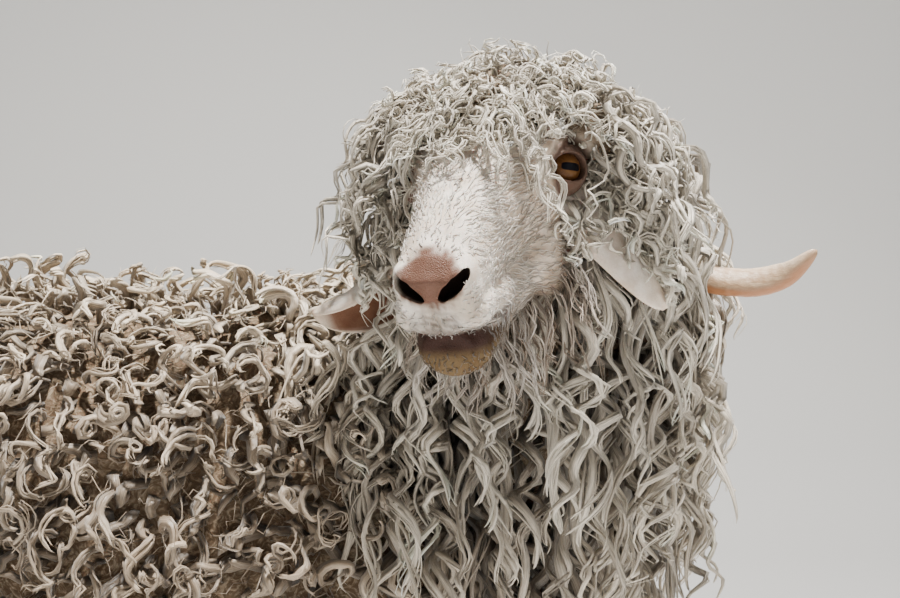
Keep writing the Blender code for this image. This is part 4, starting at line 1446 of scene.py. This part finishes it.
TO_CAMERA = np.array((0.827, 0.310, 0.465))
CLEAR_FROM, CLEAR_TO = 0.004, 0.12  # along a clearing's way
SHUT_LENGTH = 0.45  # the share that a strand keeps where it would hide a clearing
CLUMP_PULL = 0.30
OTHER_GAP, OTHER_STEP = 0.008, 0.004  # how far hair keeps off other hides, and the most it moves in a step
CLEARINGS = (
    # centre and way in the head's frame, radius: the left eye, the left ear's rim and the right ear's tip
    (np.array(EYE_CENTRE), unit(TO_CAMERA + np.array(EYE_AXIS)), 0.0185),
    (np.array((0.0240, 0.0720, -0.0660)), TO_CAMERA, 0.0105),
    (np.array((0.0240, 0.0840, -0.0780)), TO_CAMERA, 0.0110),
    (np.array((0.0200, 0.0970, -0.0920)), TO_CAMERA, 0.0120),
    (np.array((0.0090, -0.130, -0.087)), TO_CAMERA, 0.0200),
)


def leaves_clear(paths: Array) -> Array:
    """Which strands, in the design frame, leave the eye and the ears' rims to be seen."""
    local = head_local(paths)
    free = np.ones(len(paths), bool)
    for centre, way, radius in CLEARINGS:
        gap = local - centre
        along = gap @ way
        off = np.linalg.norm(gap - along[..., None] * way, axis=2)
        free &= ~((along > CLEAR_FROM) & (along < CLEAR_TO) & (off < radius)).any(1)
    return free


def everywhere(points: Array, normals: Array) -> Array:
    """Keeps every place."""
    return np.ones(len(points), bool)


@dataclass
class Groom:
    """Lays and curls one region's locks over its hide."""

    hide: Hide
    lay: Lay
    curl: Curl
    flow: Flow
    unwrap: Callable[[Array], Array]
    seed: int
    clumps: float = 0.0
    clump_lift: float = 0.0
    root_shade: float = 0.62
    tip_shade: float = 1.08
    others: Sequence[Hide] = ()
    frame: Matrix = field(default_factory=lambda: Matrix.Identity(4))
    longer: Callable[[Array], Array] | None = None
    colour: Callable[[Array], Array] = fleece_colour

    def comb(self, places: Array, normals: Array, draw: np.random.Generator) -> tuple[Array, Array, Array]:
        """The locks' guides, the ways outwards along them and their lengths."""
        lay, count = self.lay, len(places)
        lengths = lay.length * (1 + lay.vary * draw.uniform(-1, 1, count))
        if self.longer:
            lengths = lengths * self.longer(places)
        stray = draw.normal(size=(count, 3)) * lay.messy
        target, near = places, np.zeros(count)
        raised = np.ones(count)
        if self.clumps:
            centres, _ = self.hide.scatter(self.clumps, self.seed + 900, everywhere)
            tree = search_tree(centres)
            found = [tree.find(place) for place in places]
            target = np.array([tuple(entry[0]) for entry in found])
            number = np.array([entry[1] for entry in found])
            near = np.clip(np.array([entry[2] for entry in found]) / (0.7 * self.clumps), 0, 1)
            own = np.random.default_rng(self.seed + 7)
            ways = own.normal(size=(len(centres), 3))
            stray = 0.55 * stray + 0.8 * lay.messy * ways[number]
            raised = 1 + own.uniform(-0.3, 0.3, len(centres))[number]
        point, normal = places.copy(), normals
        points, outs = [point.copy()], [normal]
        for step in range(1, lay.steps + 1):
            share = step / lay.steps
            way = unit(self.flow(point, normal) + stray)
            heading = unit(way + normal * lay.stand * (1 - share) ** 2)
            point = point + heading * (lengths / lay.steps)[:, None]
            if self.clumps:
                point = point + (target - places) * (CLUMP_PULL / lay.steps) * near[:, None]
            bottom, normal = self.hide.nearest(point)
            off = ((point - bottom) * normal).sum(1)
            wanted = raised * (lay.lift + self.clump_lift * (1 - near**2)) * min(1.0, 0.3 + 1.6 * share)
            change = np.where(off < wanted, wanted - off, np.where(off > lay.most, 0.7 * (lay.most - off), 0))
            point = point + normal * change[:, None]
            for other in self.others:
                floor, out = other.nearest(point)
                inside = np.clip(OTHER_GAP - ((point - floor) * out).sum(1), 0, OTHER_STEP)
                point = point + out * inside[:, None]
            points.append(point.copy())
            outs.append(normal)
        return np.stack(points, 1), np.stack(outs, 1), lengths

    def strands(
        self, guides: Array, outs: Array, lengths: Array, draw: np.random.Generator
    ) -> tuple[Array, Array]:
        """The strands' points and half widths, curled round their guides."""
        curl, count = self.curl, len(guides)
        centre = resampled(guides, curl.points)
        out = unit(resampled(outs, curl.points))
        ahead = unit(np.gradient(centre, axis=1))
        out = unit(out - ahead * (out * ahead).sum(2)[:, :, None])
        side = np.cross(ahead, out)
        share = np.linspace(0, 1, curl.points)
        turns = lengths / curl.pitch * (1 + curl.loose * draw.uniform(-0.5, 0.5, count))
        spin = draw.choice((-1, 1), count)
        uneven = share + 0.07 * np.sin(TAU * (share * 1.3 + draw.random((count, 1))))
        angle = spin[:, None] * TAU * turns[:, None] * uneven + draw.uniform(*ANY_TURN, (count, 1))
        radius = curl.radius * (1 + curl.loose * draw.uniform(-1, 1, (count, 1)))
        swell = 1 + 0.25 * np.sin(TAU * (share * 1.7 + draw.random((count, 1))))
        radius = radius * np.clip(share / curl.open_at, 0, 1) * (1 - 0.30 * share) * swell
        tip_over = draw.uniform(*curl.tilt, (count, 1, 1))
        level = unit(np.cross(side, unit(resampled(outs, curl.points))))
        rise = out * np.cos(tip_over) + level * np.sin(tip_over)
        bend = curl.wander * share * np.sin(
            TAU * share * draw.uniform(0.6, 1.3, (count, 1)) + draw.uniform(*ANY_TURN, (count, 1))
        )
        centre = centre + side * bend[:, :, None]
        paths, radii = [], []
        for _ in range(curl.strands):
            drift = curl.spread * np.sqrt(draw.random((count, 1))) * (1 - 0.55 * share**2)
            place = draw.uniform(*ANY_TURN, (count, 1)) + 0.5 * angle
            late = draw.normal(size=(count, 1)) * 0.22
            turn = angle + late * share
            own = radius * (1 + 0.18 * draw.normal(size=(count, 1)))
            wave = curl.frizz * draw.normal(size=(count, 1)) * np.sin(
                TAU * share * draw.uniform(1.5, 4.0, (count, 1)) + draw.uniform(*ANY_TURN, (count, 1))
            )
            a = own * np.cos(turn) + drift * np.cos(place) + wave
            b, c = own * np.sin(turn), drift * np.sin(place)
            reach = 1 - 0.16 * draw.random((count, 1, 1)) * share[None, :, None]
            path = centre + side * a[:, :, None] + rise * b[:, :, None] + out * c[:, :, None]
            path = path[:, :1] + (path - path[:, :1]) * reach
            thick = 0.5 * curl.width * np.exp(curl.mixed * np.clip(draw.normal(size=(count, 1)), -2, 1.6))
            profile = (0.50 + 0.50 * np.clip(share / 0.18, 0, 1)) * np.sqrt(np.clip(1 - share**2.4, 0.01, 1))
            paths.append(path)
            radii.append(thick * profile)
        return np.concatenate(paths), np.concatenate(radii)

    def grow(self, coat: Coat, places: Array, normals: Array) -> None:
        """Grows the locks from their roots into the coat."""
        draw = np.random.default_rng(self.seed)
        guides, outs, lengths = self.comb(places, normals, draw)
        paths, radii = self.strands(guides, outs, lengths, draw)
        times = self.curl.strands
        first = np.tile(outs[:, 0], (times, 1))
        paths = transformed(self.frame, paths)
        first = first @ np.array(self.frame.to_3x3()).T
        roots = transformed(self.frame, places)
        share = np.linspace(0, 1, self.curl.points)
        base = self.colour(roots) * (1 + 0.10 * draw.normal(size=(len(places), 1)))
        base = np.tile(base, (times, 1)) * (1 + 0.07 * draw.normal(size=(times * len(places), 1)))
        shade = self.root_shade + (self.tip_shade - self.root_shade) * share**0.6
        colours = np.clip(base[:, None] * shade[None, :, None], 0.01, 0.92)
        # Towards the root, each strand takes the dirt colour: partly dirt and partly warm painted shade deep
        # in the coat
        root_dirt_and_shade = (1 - share)[None, :, None] ** 1.5 * (1 - self.root_shade) * 0.9
        colours = colours * (1 - root_dirt_and_shade) + colours * DIRT_AND_SHADE / CREAM * root_dirt_and_shade
        shut = ~leaves_clear(paths)
        paths[shut] = paths[shut, :1] + SHUT_LENGTH * (paths[shut] - paths[shut, :1])
        free = leaves_clear(paths)
        uv = np.clip(self.unwrap(paths[:, 0]), 0.004, 0.996)
        coat.add(self.curl.flat, *(rows[free] for rows in (paths, radii, first, colours, uv)))


# Unwraps of the skin's own shape, for the bake map


def around(points: Array, centre: Array, first: Array, second: Array) -> Array:
    """The share of a turn round a centre in the plane of two ways."""
    gap = points - centre
    return 0.5 + np.arctan2(gap @ second, gap @ first) / TAU


def unwrap_torso(points: Array) -> Array:
    """Round the trunk, and along it."""
    turn = around(points, np.array((0, 0, 0.43)), np.array((0, 0, -1.0)), np.array((0, 1.0, 0)))
    return np.stack([0.02 + 0.96 * turn, 0.02 + 0.96 * (points[:, 0] + 0.50) / 0.86], 1)


def unwrap_neck(points: Array) -> Array:
    """Round the neck, and along it."""
    centres = np.array([centre for centre, _, _ in NECK_STATIONS])
    ahead = unit(centres[-1] - centres[0])
    side = unit(np.cross((0, 0, 1), ahead))
    nodes = np.array([tuple(place) for place in spline([tuple(centre) for centre in centres], 40)])
    near = np.linalg.norm(points[:, None] - nodes[None], axis=2).argmin(1)
    gap = points - nodes[near]
    turn = 0.5 + np.arctan2(gap @ side, gap @ np.cross(ahead, side)) / TAU
    lift = (gap @ ahead) / 0.45
    return np.stack([0.02 + 0.96 * turn, 0.06 + 0.88 * np.clip(near / 39 + lift, 0, 1)], 1)


def unwrap_head(points: Array) -> Array:
    """Round the head's long line, and along it."""
    local = head_local(points)
    turn = around(local, np.array((0, 0, -0.03)), np.array((0, 0, -1.0)), np.array((0, 1.0, 0)))
    return np.stack([0.02 + 0.96 * turn, 0.02 + 0.96 * (local[:, 0] + 0.14) / 0.31], 1)


def unwrap_limb(points: Array) -> Array:
    """Each leg in its own quarter, round it and up it, and the tail between them."""
    fore, left = points[:, 0] > 0, points[:, 1] > 0
    centre_x = np.where(fore, 0.165, -0.37)
    centre_y = np.where(left, 0.088, -0.088)
    turn = 0.5 + np.arctan2(points[:, 1] - centre_y, points[:, 0] - centre_x) / TAU
    u = 0.01 + 0.235 * turn + 0.25 * (2 * fore + left)
    return np.stack([u, 0.02 + 0.96 * np.clip(points[:, 2] / 0.62, 0, 1)], 1)


# Ways the coat lies


def body_flow(points: Array, normals: Array) -> Array:
    """Down, away from the spine and a little backwards."""
    spread = np.sign(points[:, 1] + 1e-6) * 0.9 * np.clip(normals[:, 2], 0, 1)
    way = np.stack([np.full(len(points), -0.25), spread, np.full(len(points), -0.8)], 1)
    return along_skin(way, normals)


def along_skin(way: Array, normals: Array) -> Array:
    """The ways with what points into the skin taken out."""
    into = np.minimum((way * normals).sum(1), 0)
    return unit(way - normals * into[:, None])


def neck_flow(points: Array, normals: Array) -> Array:
    """Straight down, as long locks hang."""
    return along_skin(np.tile((0.0, 0.0, -1.0), (len(points), 1)), normals)


HEAD_DOWN = np.array(HEAD.to_3x3().inverted() @ Vector((0, 0, -1)))


def head_flow(points: Array, normals: Array) -> Array:
    """Straight down in the world, seen from the head's frame, and outwards over its sides."""
    way = np.tile(HEAD_DOWN, (len(points), 1))
    way[:, 1] += 0.8 * np.sign(points[:, 1]) * smooth_step(0.01, 0.05, np.abs(points[:, 1]))
    return along_skin(way, normals)


def head_hang(points: Array, normals: Array) -> Array:
    """Straight down in the world, seen from the head's frame, and a little outwards."""
    way = np.tile(HEAD_DOWN, (len(points), 1))
    way[:, 1] += 0.18 * np.sign(points[:, 1])
    return along_skin(way, normals)


def face_flow(points: Array, normals: Array) -> Array:
    """Back from the nose over the bridge, and down the cheeks and chin."""
    x, y, z = points.T
    low = smooth_step(0.0, 0.045, -z)
    chin = smooth_step(0.085, 0.11, x) * smooth_step(0.03, 0.045, -z)
    across = 1.2 * np.sign(y) * smooth_step(0.004, 0.03, np.abs(y)) * (1 - chin)
    way = np.stack([-1.0 + 0.9 * chin, across, -0.55 * low - 0.9 * chin], 1)
    return unit(way - normals * (way * normals).sum(1)[:, None])


@dataclass
class Fleece:
    """The whole coat, region by region."""

    body: Body
    fleece: Material
    fur: Material

    def torso(self) -> None:
        """Matted curls over the trunk, on a close mat."""
        hides = self.body.hides
        neck, torso = hides["neck"], hides["torso"]

        def keep(points: Array, normals: Array) -> Array:
            """Not under the neck or between the legs' roots."""
            wanted = points[:, 0] < 0.34
            wanted[wanted] &= neck.height(points[wanted]) > -0.004
            return wanted

        mat = Coat("coat_mat")
        Groom(
            torso, Lay(0.034, 0.3, 0.9, 0.008, 0.030, 0.80, 4),
            Curl(0.003, 0.03, 0.003, 0.011, 1, 6, flat=0.3), body_flow, unwrap_torso, 55,
            clumps=0.040, clump_lift=0.012, root_shade=0.24, tip_shade=0.88,
        ).grow(mat, *torso.scatter(0.0140, 50, keep))
        mat.build(self.fleece, Slot.FLEECE)
        coat = Coat("coat_torso")
        places, normals = torso.scatter(0.0155, 51, keep)
        loops = np.random.default_rng(52).random(len(places)) < 0.62
        rings = Curl(0.0070, 0.024, 0.0036, 0.0038, 3, 16, flat=0.4, tilt=(0.8, 1.57), open_at=0.2, mixed=0.6)
        waves = Curl(0.0048, 0.040, 0.0036, 0.0042, 3, 16, flat=0.4, tilt=(0.0, 0.8), wander=0.008, mixed=0.6)
        for curl, length, take, seed in ((rings, 0.028, loops, 61), (waves, 0.050, ~loops, 62)):
            Groom(
                torso, Lay(length, 0.35, 1.5, 0.022, 0.046, 0.80, 6), curl, body_flow, unwrap_torso, seed,
                clumps=0.055, clump_lift=0.018, root_shade=0.52, tip_shade=1.28,
            ).grow(coat, places[take], normals[take])
        Groom(
            torso, Lay(0.034, 0.4, 1.4, 0.020, 0.050, 1.2, 4), FUZZ, body_flow, unwrap_torso, 63,
            root_shade=0.55, tip_shade=1.1,
        ).grow(coat, *torso.scatter(0.0122, 53, keep))
        coat.build(self.fleece, Slot.FLEECE)

    def neck(self) -> None:
        """Long hanging ringlets round the neck: thick ropes with fine strands that stray from them."""
        hides = self.body.hides
        neck, torso = hides["neck"], hides["torso"]

        def keep(points: Array, normals: Array) -> Array:
            """Outside the trunk and off the throat under the jaw."""
            local = head_local(points)
            under_head = (local[:, 0] > -0.015) & (local[:, 2] > -0.075)
            wanted = ~under_head & (points[:, 0] > 0.17)
            wanted[wanted] &= torso.height(points[wanted]) > -0.004
            return wanted

        coat = Coat("coat_neck")
        Groom(
            neck, Lay(0.070, 0.3, 0.5, 0.005, 0.030, 0.25, 5),
            Curl(0.003, 0.035, 0.003, 0.014, 1, 7, flat=0.3), neck_flow, unwrap_neck, 75,
            root_shade=0.16, tip_shade=0.46, others=[torso],
        ).grow(coat, *neck.scatter(0.0158, 70, keep))
        places, normals = neck.scatter(0.0165, 71, keep)
        ropes = Curl(0.0075, 0.054, 0.0040, 0.0080, 2, 30, flat=0.45, wander=0.010, loose=0.5)
        fine = Curl(0.0085, 0.056, 0.0066, 0.0024, 2, 24, wander=0.012, loose=0.6, frizz=0.002)
        for curl in (ropes, fine):
            Groom(
                neck, Lay(0.150, 0.30, 0.8, 0.012, 1.0, 0.10, 10), curl, neck_flow, unwrap_neck, 81,
                clumps=0.034, clump_lift=0.012, root_shade=0.20, tip_shade=1.18, others=[torso],
            ).grow(coat, places, normals)
        Groom(
            neck, Lay(0.050, 0.4, 1.2, 0.016, 0.050, 0.7, 4), FUZZ, neck_flow, unwrap_neck, 83,
            root_shade=0.40, tip_shade=1.0, others=[torso],
        ).grow(coat, *neck.scatter(0.0132, 73, keep))
        coat.build(self.fleece, Slot.FLEECE)

    def head(self) -> None:
        """Fine glossy rings over the skull, a forelock, and ringlets down both sides over the ears."""
        hides = self.body.hides
        face, wig = hides["face"], hides["wig"]
        guards = [hides["guard_left"], hides["guard_right"]]
        ears = [hides["ear_left"], hides["ear_right"]]

        def keep(points: Array, normals: Array) -> Array:
            """Outside the bare face."""
            return face.height(points) > -0.002

        coat = Coat("coat_head")
        places, normals = wig.scatter(0.0058, 91, keep)
        loops = np.random.default_rng(92).random(len(places)) < 0.65
        rings = Curl(
            0.0052, 0.016, 0.0020, 0.0022, 3, 12, flat=0.45, tilt=(0.7, 1.57), open_at=0.15, mixed=0.5
        )
        waves = Curl(
            0.0036, 0.020, 0.0022, 0.0022, 3, 12, flat=0.45, tilt=(0.0, 0.8), wander=0.004, mixed=0.5
        )
        for curl, length, take, seed in ((rings, 0.018, loops, 101), (waves, 0.030, ~loops, 102)):
            Groom(
                wig, Lay(length, 0.4, 1.6, 0.010, 0.024, 0.9, 6), curl, head_flow, unwrap_head, seed,
                clumps=0.020, clump_lift=0.006, root_shade=0.70, tip_shade=1.18, frame=HEAD, others=guards,
            ).grow(coat, places[take], normals[take])

        def front(points: Array, normals: Array) -> Array:
            """The front of the wool, over the forehead."""
            return (points[:, 0] > -0.035) & (points[:, 2] > 0.030) & (np.abs(points[:, 1]) < 0.048)

        def sides(points: Array, normals: Array) -> Array:
            """The wool's sides, behind the eyes."""
            wanted = (np.abs(points[:, 1]) > 0.052) & (points[:, 2] < 0.03)
            wanted[wanted] &= face.height(points[wanted]) > 0.001
            return wanted

        forelock = Curl(0.0050, 0.026, 0.0024, 0.0021, 3, 22, flat=0.45, tilt=(0.5, 1.4), wander=0.006)
        Groom(
            wig, Lay(0.060, 0.35, 0.7, 0.006, 1.0, 0.35, 8), forelock, head_hang, unwrap_head, 104,
            clumps=0.016, clump_lift=0.004, root_shade=0.75, tip_shade=1.18, frame=HEAD,
            others=[face, *guards],
        ).grow(coat, *wig.scatter(0.0060, 94, front))
        Groom(
            wig, Lay(0.022, 0.4, 1.4, 0.012, 0.034, 1.2, 4), FUZZ, head_flow, unwrap_head, 107,
            root_shade=0.75, tip_shade=1.15, frame=HEAD, others=guards,
        ).grow(coat, *wig.scatter(0.0062, 97, keep))
        ringlets = Curl(
            0.0054, 0.034, 0.0032, 0.0032, 3, 20, flat=0.45, tilt=(0.0, 0.6), wander=0.006,
            loose=0.5, mixed=0.55,
        )
        Groom(
            wig, Lay(0.082, 0.30, 0.8, 0.010, 1.0, 0.15, 8), ringlets, head_hang, unwrap_head, 103,
            clumps=0.022, clump_lift=0.006, root_shade=0.55, tip_shade=1.12, frame=HEAD,
            others=[*ears, *guards],
        ).grow(coat, *wig.scatter(0.0092, 93, sides))
        for ear in self.body.ears:
            facing = np.array(ear.route()[3])
            hide = hides[f"ear_{ear.side.word}"]

            def outer(points: Array, normals: Array) -> Array:
                """The ear's outer face, short of its tip."""
                return (normals @ facing < 0.3) & (points[:, 2] > -0.086) & (np.abs(points[:, 1]) > 0.045)

            Groom(
                hide, Lay(0.034, 0.30, 0.8, 0.004, 1.0, 0.3, 6), replace(ringlets, points=15),
                head_hang, unwrap_head, 106, root_shade=0.75, tip_shade=1.20, frame=HEAD, others=guards,
            ).grow(coat, *hide.scatter(0.0070, 96, outer))
        temple = np.array([(0.024, 0.024, 0.041), (0.028, 0.030, 0.036), (0.020, 0.028, 0.041)])
        dangling = Curl(0.0044, 0.017, 0.0020, 0.0020, 4, 36, flat=0.45, tilt=(0.0, 0.5), wander=0.006)
        Groom(
            face, Lay(0.095, 0.15, 0.9, 0.010, 1.0, 0.06, 8), dangling, head_hang, unwrap_head, 105,
            root_shade=0.65, frame=HEAD,
        ).grow(coat, temple, np.tile(unit(np.array((0.2, 0.5, 0.8))), (len(temple), 1)))
        coat.build(self.fleece, Slot.FLEECE)

    def jaw(self) -> None:
        """Fine, slightly waved hair from the cheeks and jaw down over the throat."""
        face = self.body.hides["face"]

        def keep(points: Array, normals: Array) -> Array:
            """The cheeks behind the mouth, and the underside of the jaw."""
            x, y, z = points.T
            cheek = (x < 0.030 + 0.5 * (-z - 0.05)) & (z < -0.030) & (np.abs(y) > 0.012)
            return (cheek | ((z < -0.062) & (x < 0.085))) & (x > -0.06)

        coat = Coat("coat_jaw")
        wisps = Curl(0.0018, 0.034, 0.0026, 0.0015, 3, 12, flat=0.5, wander=0.006, loose=0.6, frizz=0.0016)
        Groom(
            face, Lay(0.055, 0.35, 0.5, 0.004, 1.0, 0.16, 6), wisps, head_hang, unwrap_head, 161,
            clumps=0.014, root_shade=0.75, tip_shade=1.05, frame=HEAD, colour=jaw_tint,
        ).grow(coat, *face.scatter(0.0066, 160, keep))
        coat.build(self.fleece, Slot.FACE)

    def limbs(self) -> None:
        """Shorter curls down the legs and on the tail."""
        hides = self.body.hides
        torso = hides["torso"]

        def keep(points: Array, normals: Array) -> Array:
            """From the shank up to the trunk."""
            wanted = (points[:, 2] > 0.145) & (points[:, 2] < 0.42)
            wanted[wanted] &= torso.height(points[wanted]) > -0.006
            return wanted

        coat = Coat("coat_limbs")
        for pair in LEG_STATIONS:
            for side in Side:
                hide = hides[f"{pair}_{side.word}"]
                Groom(
                    hide, Lay(0.050, 0.3, 1.0, 0.010, 0.030, 0.35),
                    Curl(0.0042, 0.024, 0.0028, 0.0032, 2, 12), body_flow, unwrap_limb, 121, root_shade=0.5,
                ).grow(coat, *hide.scatter(0.0115, 111, keep))
        tail = hides["tail"]
        Groom(
            tail, Lay(0.055, 0.3, 1.0, 0.008, 0.030, 0.3), Curl(0.0040, 0.026, 0.0028, 0.0030, 3, 14),
            body_flow, unwrap_limb, 141, root_shade=0.5,
        ).grow(coat, *tail.scatter(0.0100, 131, lambda p, n: p[:, 0] < -0.44))
        coat.build(self.fleece, Slot.FLEECE)

    def face(self) -> None:
        """Short tufts lying over the face, finest at the lips and round the eyes."""
        face, wig = self.body.hides["face"], self.body.hides["wig"]

        def keep(points: Array, normals: Array) -> Array:
            """Furred skin that the curls leave clear."""
            zones, bare = face_zones(points)
            wanted = (bare < 0.55) & (points[:, 0] > -0.03)
            for side in Side:
                start, end = (np.array(place) for place in nostril_ends(side))
                share = np.clip((points - start) @ (end - start) / ((end - start) @ (end - start)), 0, 1)
                wanted &= np.linalg.norm(points - start - share[:, None] * (end - start), axis=1) > 0.0078
            wanted[wanted] &= wig.height(points[wanted]) > 0.0
            return wanted

        coat = Coat("coat_face")
        places, normals = face.scatter(0.0027, 151, keep)
        Groom(
            face, Lay(0.0125, 0.35, 0.18, 0.0005, 0.0018, 0.12, 3), Curl(0.0, 0.02, 0.0006, 0.0009, 1, 5),
            face_flow, unwrap_head, 152, root_shade=0.9, tip_shade=1.06, frame=HEAD, colour=face_tint,
            longer=lambda p: 1 - 0.6 * smooth_step(0.105, 0.140, p[:, 0]),
        ).grow(coat, places, normals)
        coat.build(self.fur, Slot.FACE)

    def build(self) -> None:
        """Builds every region."""
        self.torso()
        self.neck()
        self.head()
        self.jaw()
        self.limbs()
        self.face()


@dataclass
class Eye:
    """One eye, with its gaze for the iris and pupil."""

    side: Side

    def build(self, material: Material) -> Object:
        """Builds the eyeball with its bulging cornea."""
        mesh = bpy.data.meshes.new("eye")
        with editing(mesh) as work:
            bmesh.ops.create_uvsphere(work, u_segments=64, v_segments=40, radius=1.0)
        axis = mirrored(EYE_AXIS, self.side)
        frame_of = basis(axis, LEVEL_UP)
        points = vertex_rows(mesh)[:, [2, 1, 0]] * (1, 1, -1)
        set_vectors(mesh, "gaze", points)
        bulge = 1 + 0.055 * smooth_step(0.72, 1.0, points[:, 0])
        points = points * bulge[:, None] * EYE_RADIUS
        mesh.vertices.foreach_set("co", points.ravel())
        mesh.transform(HEAD @ Matrix.Translation(mirrored(EYE_CENTRE, self.side)) @ frame_of)
        return dressed(f"eyeball_{self.side.word}", mesh, material, [f"eye_{self.side.word}"])


@dataclass
class Horn:
    """A flattened, keeled horn with growth rings."""

    side: Side
    rings: int = 110
    count: int = 28

    def route(self) -> list[Vector]:
        """Its middle line in the head's frame, the right one flaring a little less."""
        flare = 1.0 if self.side is Side.LEFT else 0.85
        route = (
            (-0.046, 0.027, 0.018),
            (-0.084, 0.038, 0.012),
            (-0.118, 0.052, -0.026),
            (-0.128, 0.080, -0.088),
            (-0.112, 0.108 * flare, -0.140),
            (-0.104, 0.142 * flare, -0.150),
            (-0.106, 0.174 * flare, -0.147),
            (-0.114, 0.199 * flare, -0.131),
        )
        return spline([mirrored(point, self.side) for point in route], self.rings)

    def build(self, material: Material) -> Object:
        """Builds the horn."""
        centres = self.route()
        last = self.rings - 1
        rings: list[list[Vector]] = []
        grain: list[tuple[float, float, float]] = []
        for k, centre in enumerate(centres):
            share = k / last
            ahead = (centres[min(k + 1, last)] - centres[max(k - 1, 0)]).normalized()
            side = Vector((0.3, self.side.value, 0.55)).cross(ahead).normalized()
            up = ahead.cross(side)
            thick = 0.0155 * (1 - share) ** 0.5 + 0.0035 * (1 - share**12) ** 0.5
            ridge = 0.00045 * (1 - share) * math.sin(TAU * 34 * share + 1.5 * math.sin(19 * share))
            ring = []
            for c in range(self.count):
                turn = TAU * c / self.count
                keel = 1 + 0.10 * max(0.0, math.cos(turn)) ** 8
                out = side * math.cos(turn) * thick * keel + up * math.sin(turn) * 0.72 * thick
                ring.append(centre + out + out.normalized() * ridge)
                grain.append((share, math.cos(turn), math.sin(turn)))
            rings.append(ring)
        horn = loft(rings)
        tree = search_tree([point for ring in rings for point in ring])
        nearest = [tree.find(vertex.co)[1] for vertex in horn.data.vertices]
        set_vectors(horn.data, "grain", np.array(grain)[nearest])
        horn.data.transform(HEAD)
        word = self.side.word
        return dressed(f"horn_sheath_{word}", horn.data, material, [f"horn_{word}"])


@dataclass
class Hoof:
    """The two claws of one cloven hoof."""

    pair: str
    side: Side
    length: float = 0.056
    width: float = 0.0235
    parting: float = 0.0012

    def claw(self, outer: bool) -> Object:
        """One claw: flat on its sole and inner side, rounded outside, pointed in front."""
        turned = self.side.value if outer else -self.side.value
        corners = (
            (-0.50, 0.0), (-0.50, 0.60), (-0.22, 0.98), (0.10, 1.0), (0.34, 0.72), (0.50, 0.22), (0.50, 0.0)
        )
        outline = [
            (point.x, point.y)
            for a, b in zip(corners, corners[1:])
            for point in (Vector(a).lerp(Vector(b), k / 4) for k in range(4))
        ] + [corners[-1]]
        rings = []
        for level in range(15):
            rise = level / 14
            size = 1.0 - 0.14 * rise - 0.04 * rise**2
            shift = 0.006 - 0.010 * rise - 0.002 * rise**2
            band = 1 + 0.008 * math.sin(TAU * rise * 5) * (0 < level < 14)
            ring = []
            for along, across in outline:
                x = FOOT_X[self.pair] + 0.012 + shift + along * self.length * size * band
                out = self.parting + self.width * across * size * band
                y = self.side.value * FOOT_HALF_TRACK + turned * out
                ring.append(Vector((x, y, rise * HOOF_TOP)))
            rings.append(ring)
        return loft(rings)

    def build(self, material: Material) -> Object:
        """Builds both claws as one piece."""
        both = joined([self.claw(True), self.claw(False)])
        name = f"{self.pair}_{self.side.word}"
        nodes = [f"hoof_{name}_{claw}" for claw in ("inner", "outer")]
        return dressed(f"hoof_{name}", both.data, material, nodes)


@dataclass
class Studio:
    """The floor, the lights and the photo's camera."""

    def floor(self) -> None:
        """Adds the plain pale floor, with its back swept up behind the goat."""
        rows = [(-6.0, 0.0), (2.2, 0.0), (2.8, 0.06), (3.3, 0.26), (3.6, 0.6), (3.75, 1.1), (3.8, 6.0)]
        points = [Vector((x, y, z)) for y, z in rows for x in (-8.0, 8.0)]
        faces = [(2 * k, 2 * k + 1, 2 * k + 3, 2 * k + 2) for k in range(len(rows) - 1)]
        mesh = raw_mesh(points, faces)
        mesh.shade_smooth()
        mesh.materials.append(FloorFinish().material())
        linked("floor", mesh)

    def light(self, name: str, place: Sequence[float], size: float, power: float, warm: float) -> None:
        """Adds a soft light that faces the goat."""
        data = bpy.data.lights.new(name, "AREA")
        data.shape = "DISK"
        data.size = size
        data.energy = power
        data.color = (1.0, 1.0 - 0.10 * warm, 1.0 - 0.24 * warm)
        lamp = linked(name, data)
        lamp.location = place
        aim = SHIFT + Vector((0.15, -0.15, 0.5)) - Vector(place)
        lamp.rotation_euler = aim.to_track_quat("-Z", "Y").to_euler()

    def camera(self) -> None:
        """Sets the photo's camera."""
        data = bpy.data.cameras.new("camera")
        data.lens = PHOTO_LENS
        data.sensor_width = 36
        camera = linked("camera", data)
        camera.location = PHOTO_CAMERA + SHIFT
        camera.rotation_euler = (PHOTO_TILT, 0, 0)
        bpy.context.scene.camera = camera

    def build(self) -> None:
        """Builds the whole studio."""
        world = bpy.data.worlds.new("studio")
        world.use_nodes = True
        sky = world.node_tree.nodes["Background"]
        sky.inputs["Color"].default_value = (0.88, 0.87, 0.86, 1)
        sky.inputs["Strength"].default_value = 0.20
        bpy.context.scene.world = world
        self.floor()
        self.light("key", (0.45, -0.85, 3.3), 0.34, 350.0, 0.40)
        self.light("fill", (2.4, -2.0, 1.2), 1.8, 6.0, 0.0)
        self.light("rim", (1.5, 0.9, 2.8), 0.7, 110.0, 0.2)
        self.camera()


def main() -> None:
    """Builds the goat and its studio."""
    body = Body()
    body.build(SkinFinish().material())
    eye, horn, hoof = EyeFinish().material(), HornFinish().material(), HoofFinish().material()
    for side in Side:
        Eye(side).build(eye)
        Horn(side).build(horn)
        for pair in FOOT_X:
            Hoof(pair, side).build(hoof)
    Fleece(body, FleeceFinish().material(), FleeceFinish("fur").material()).build()
    Studio().build()


if __name__ == "__main__":
    main()
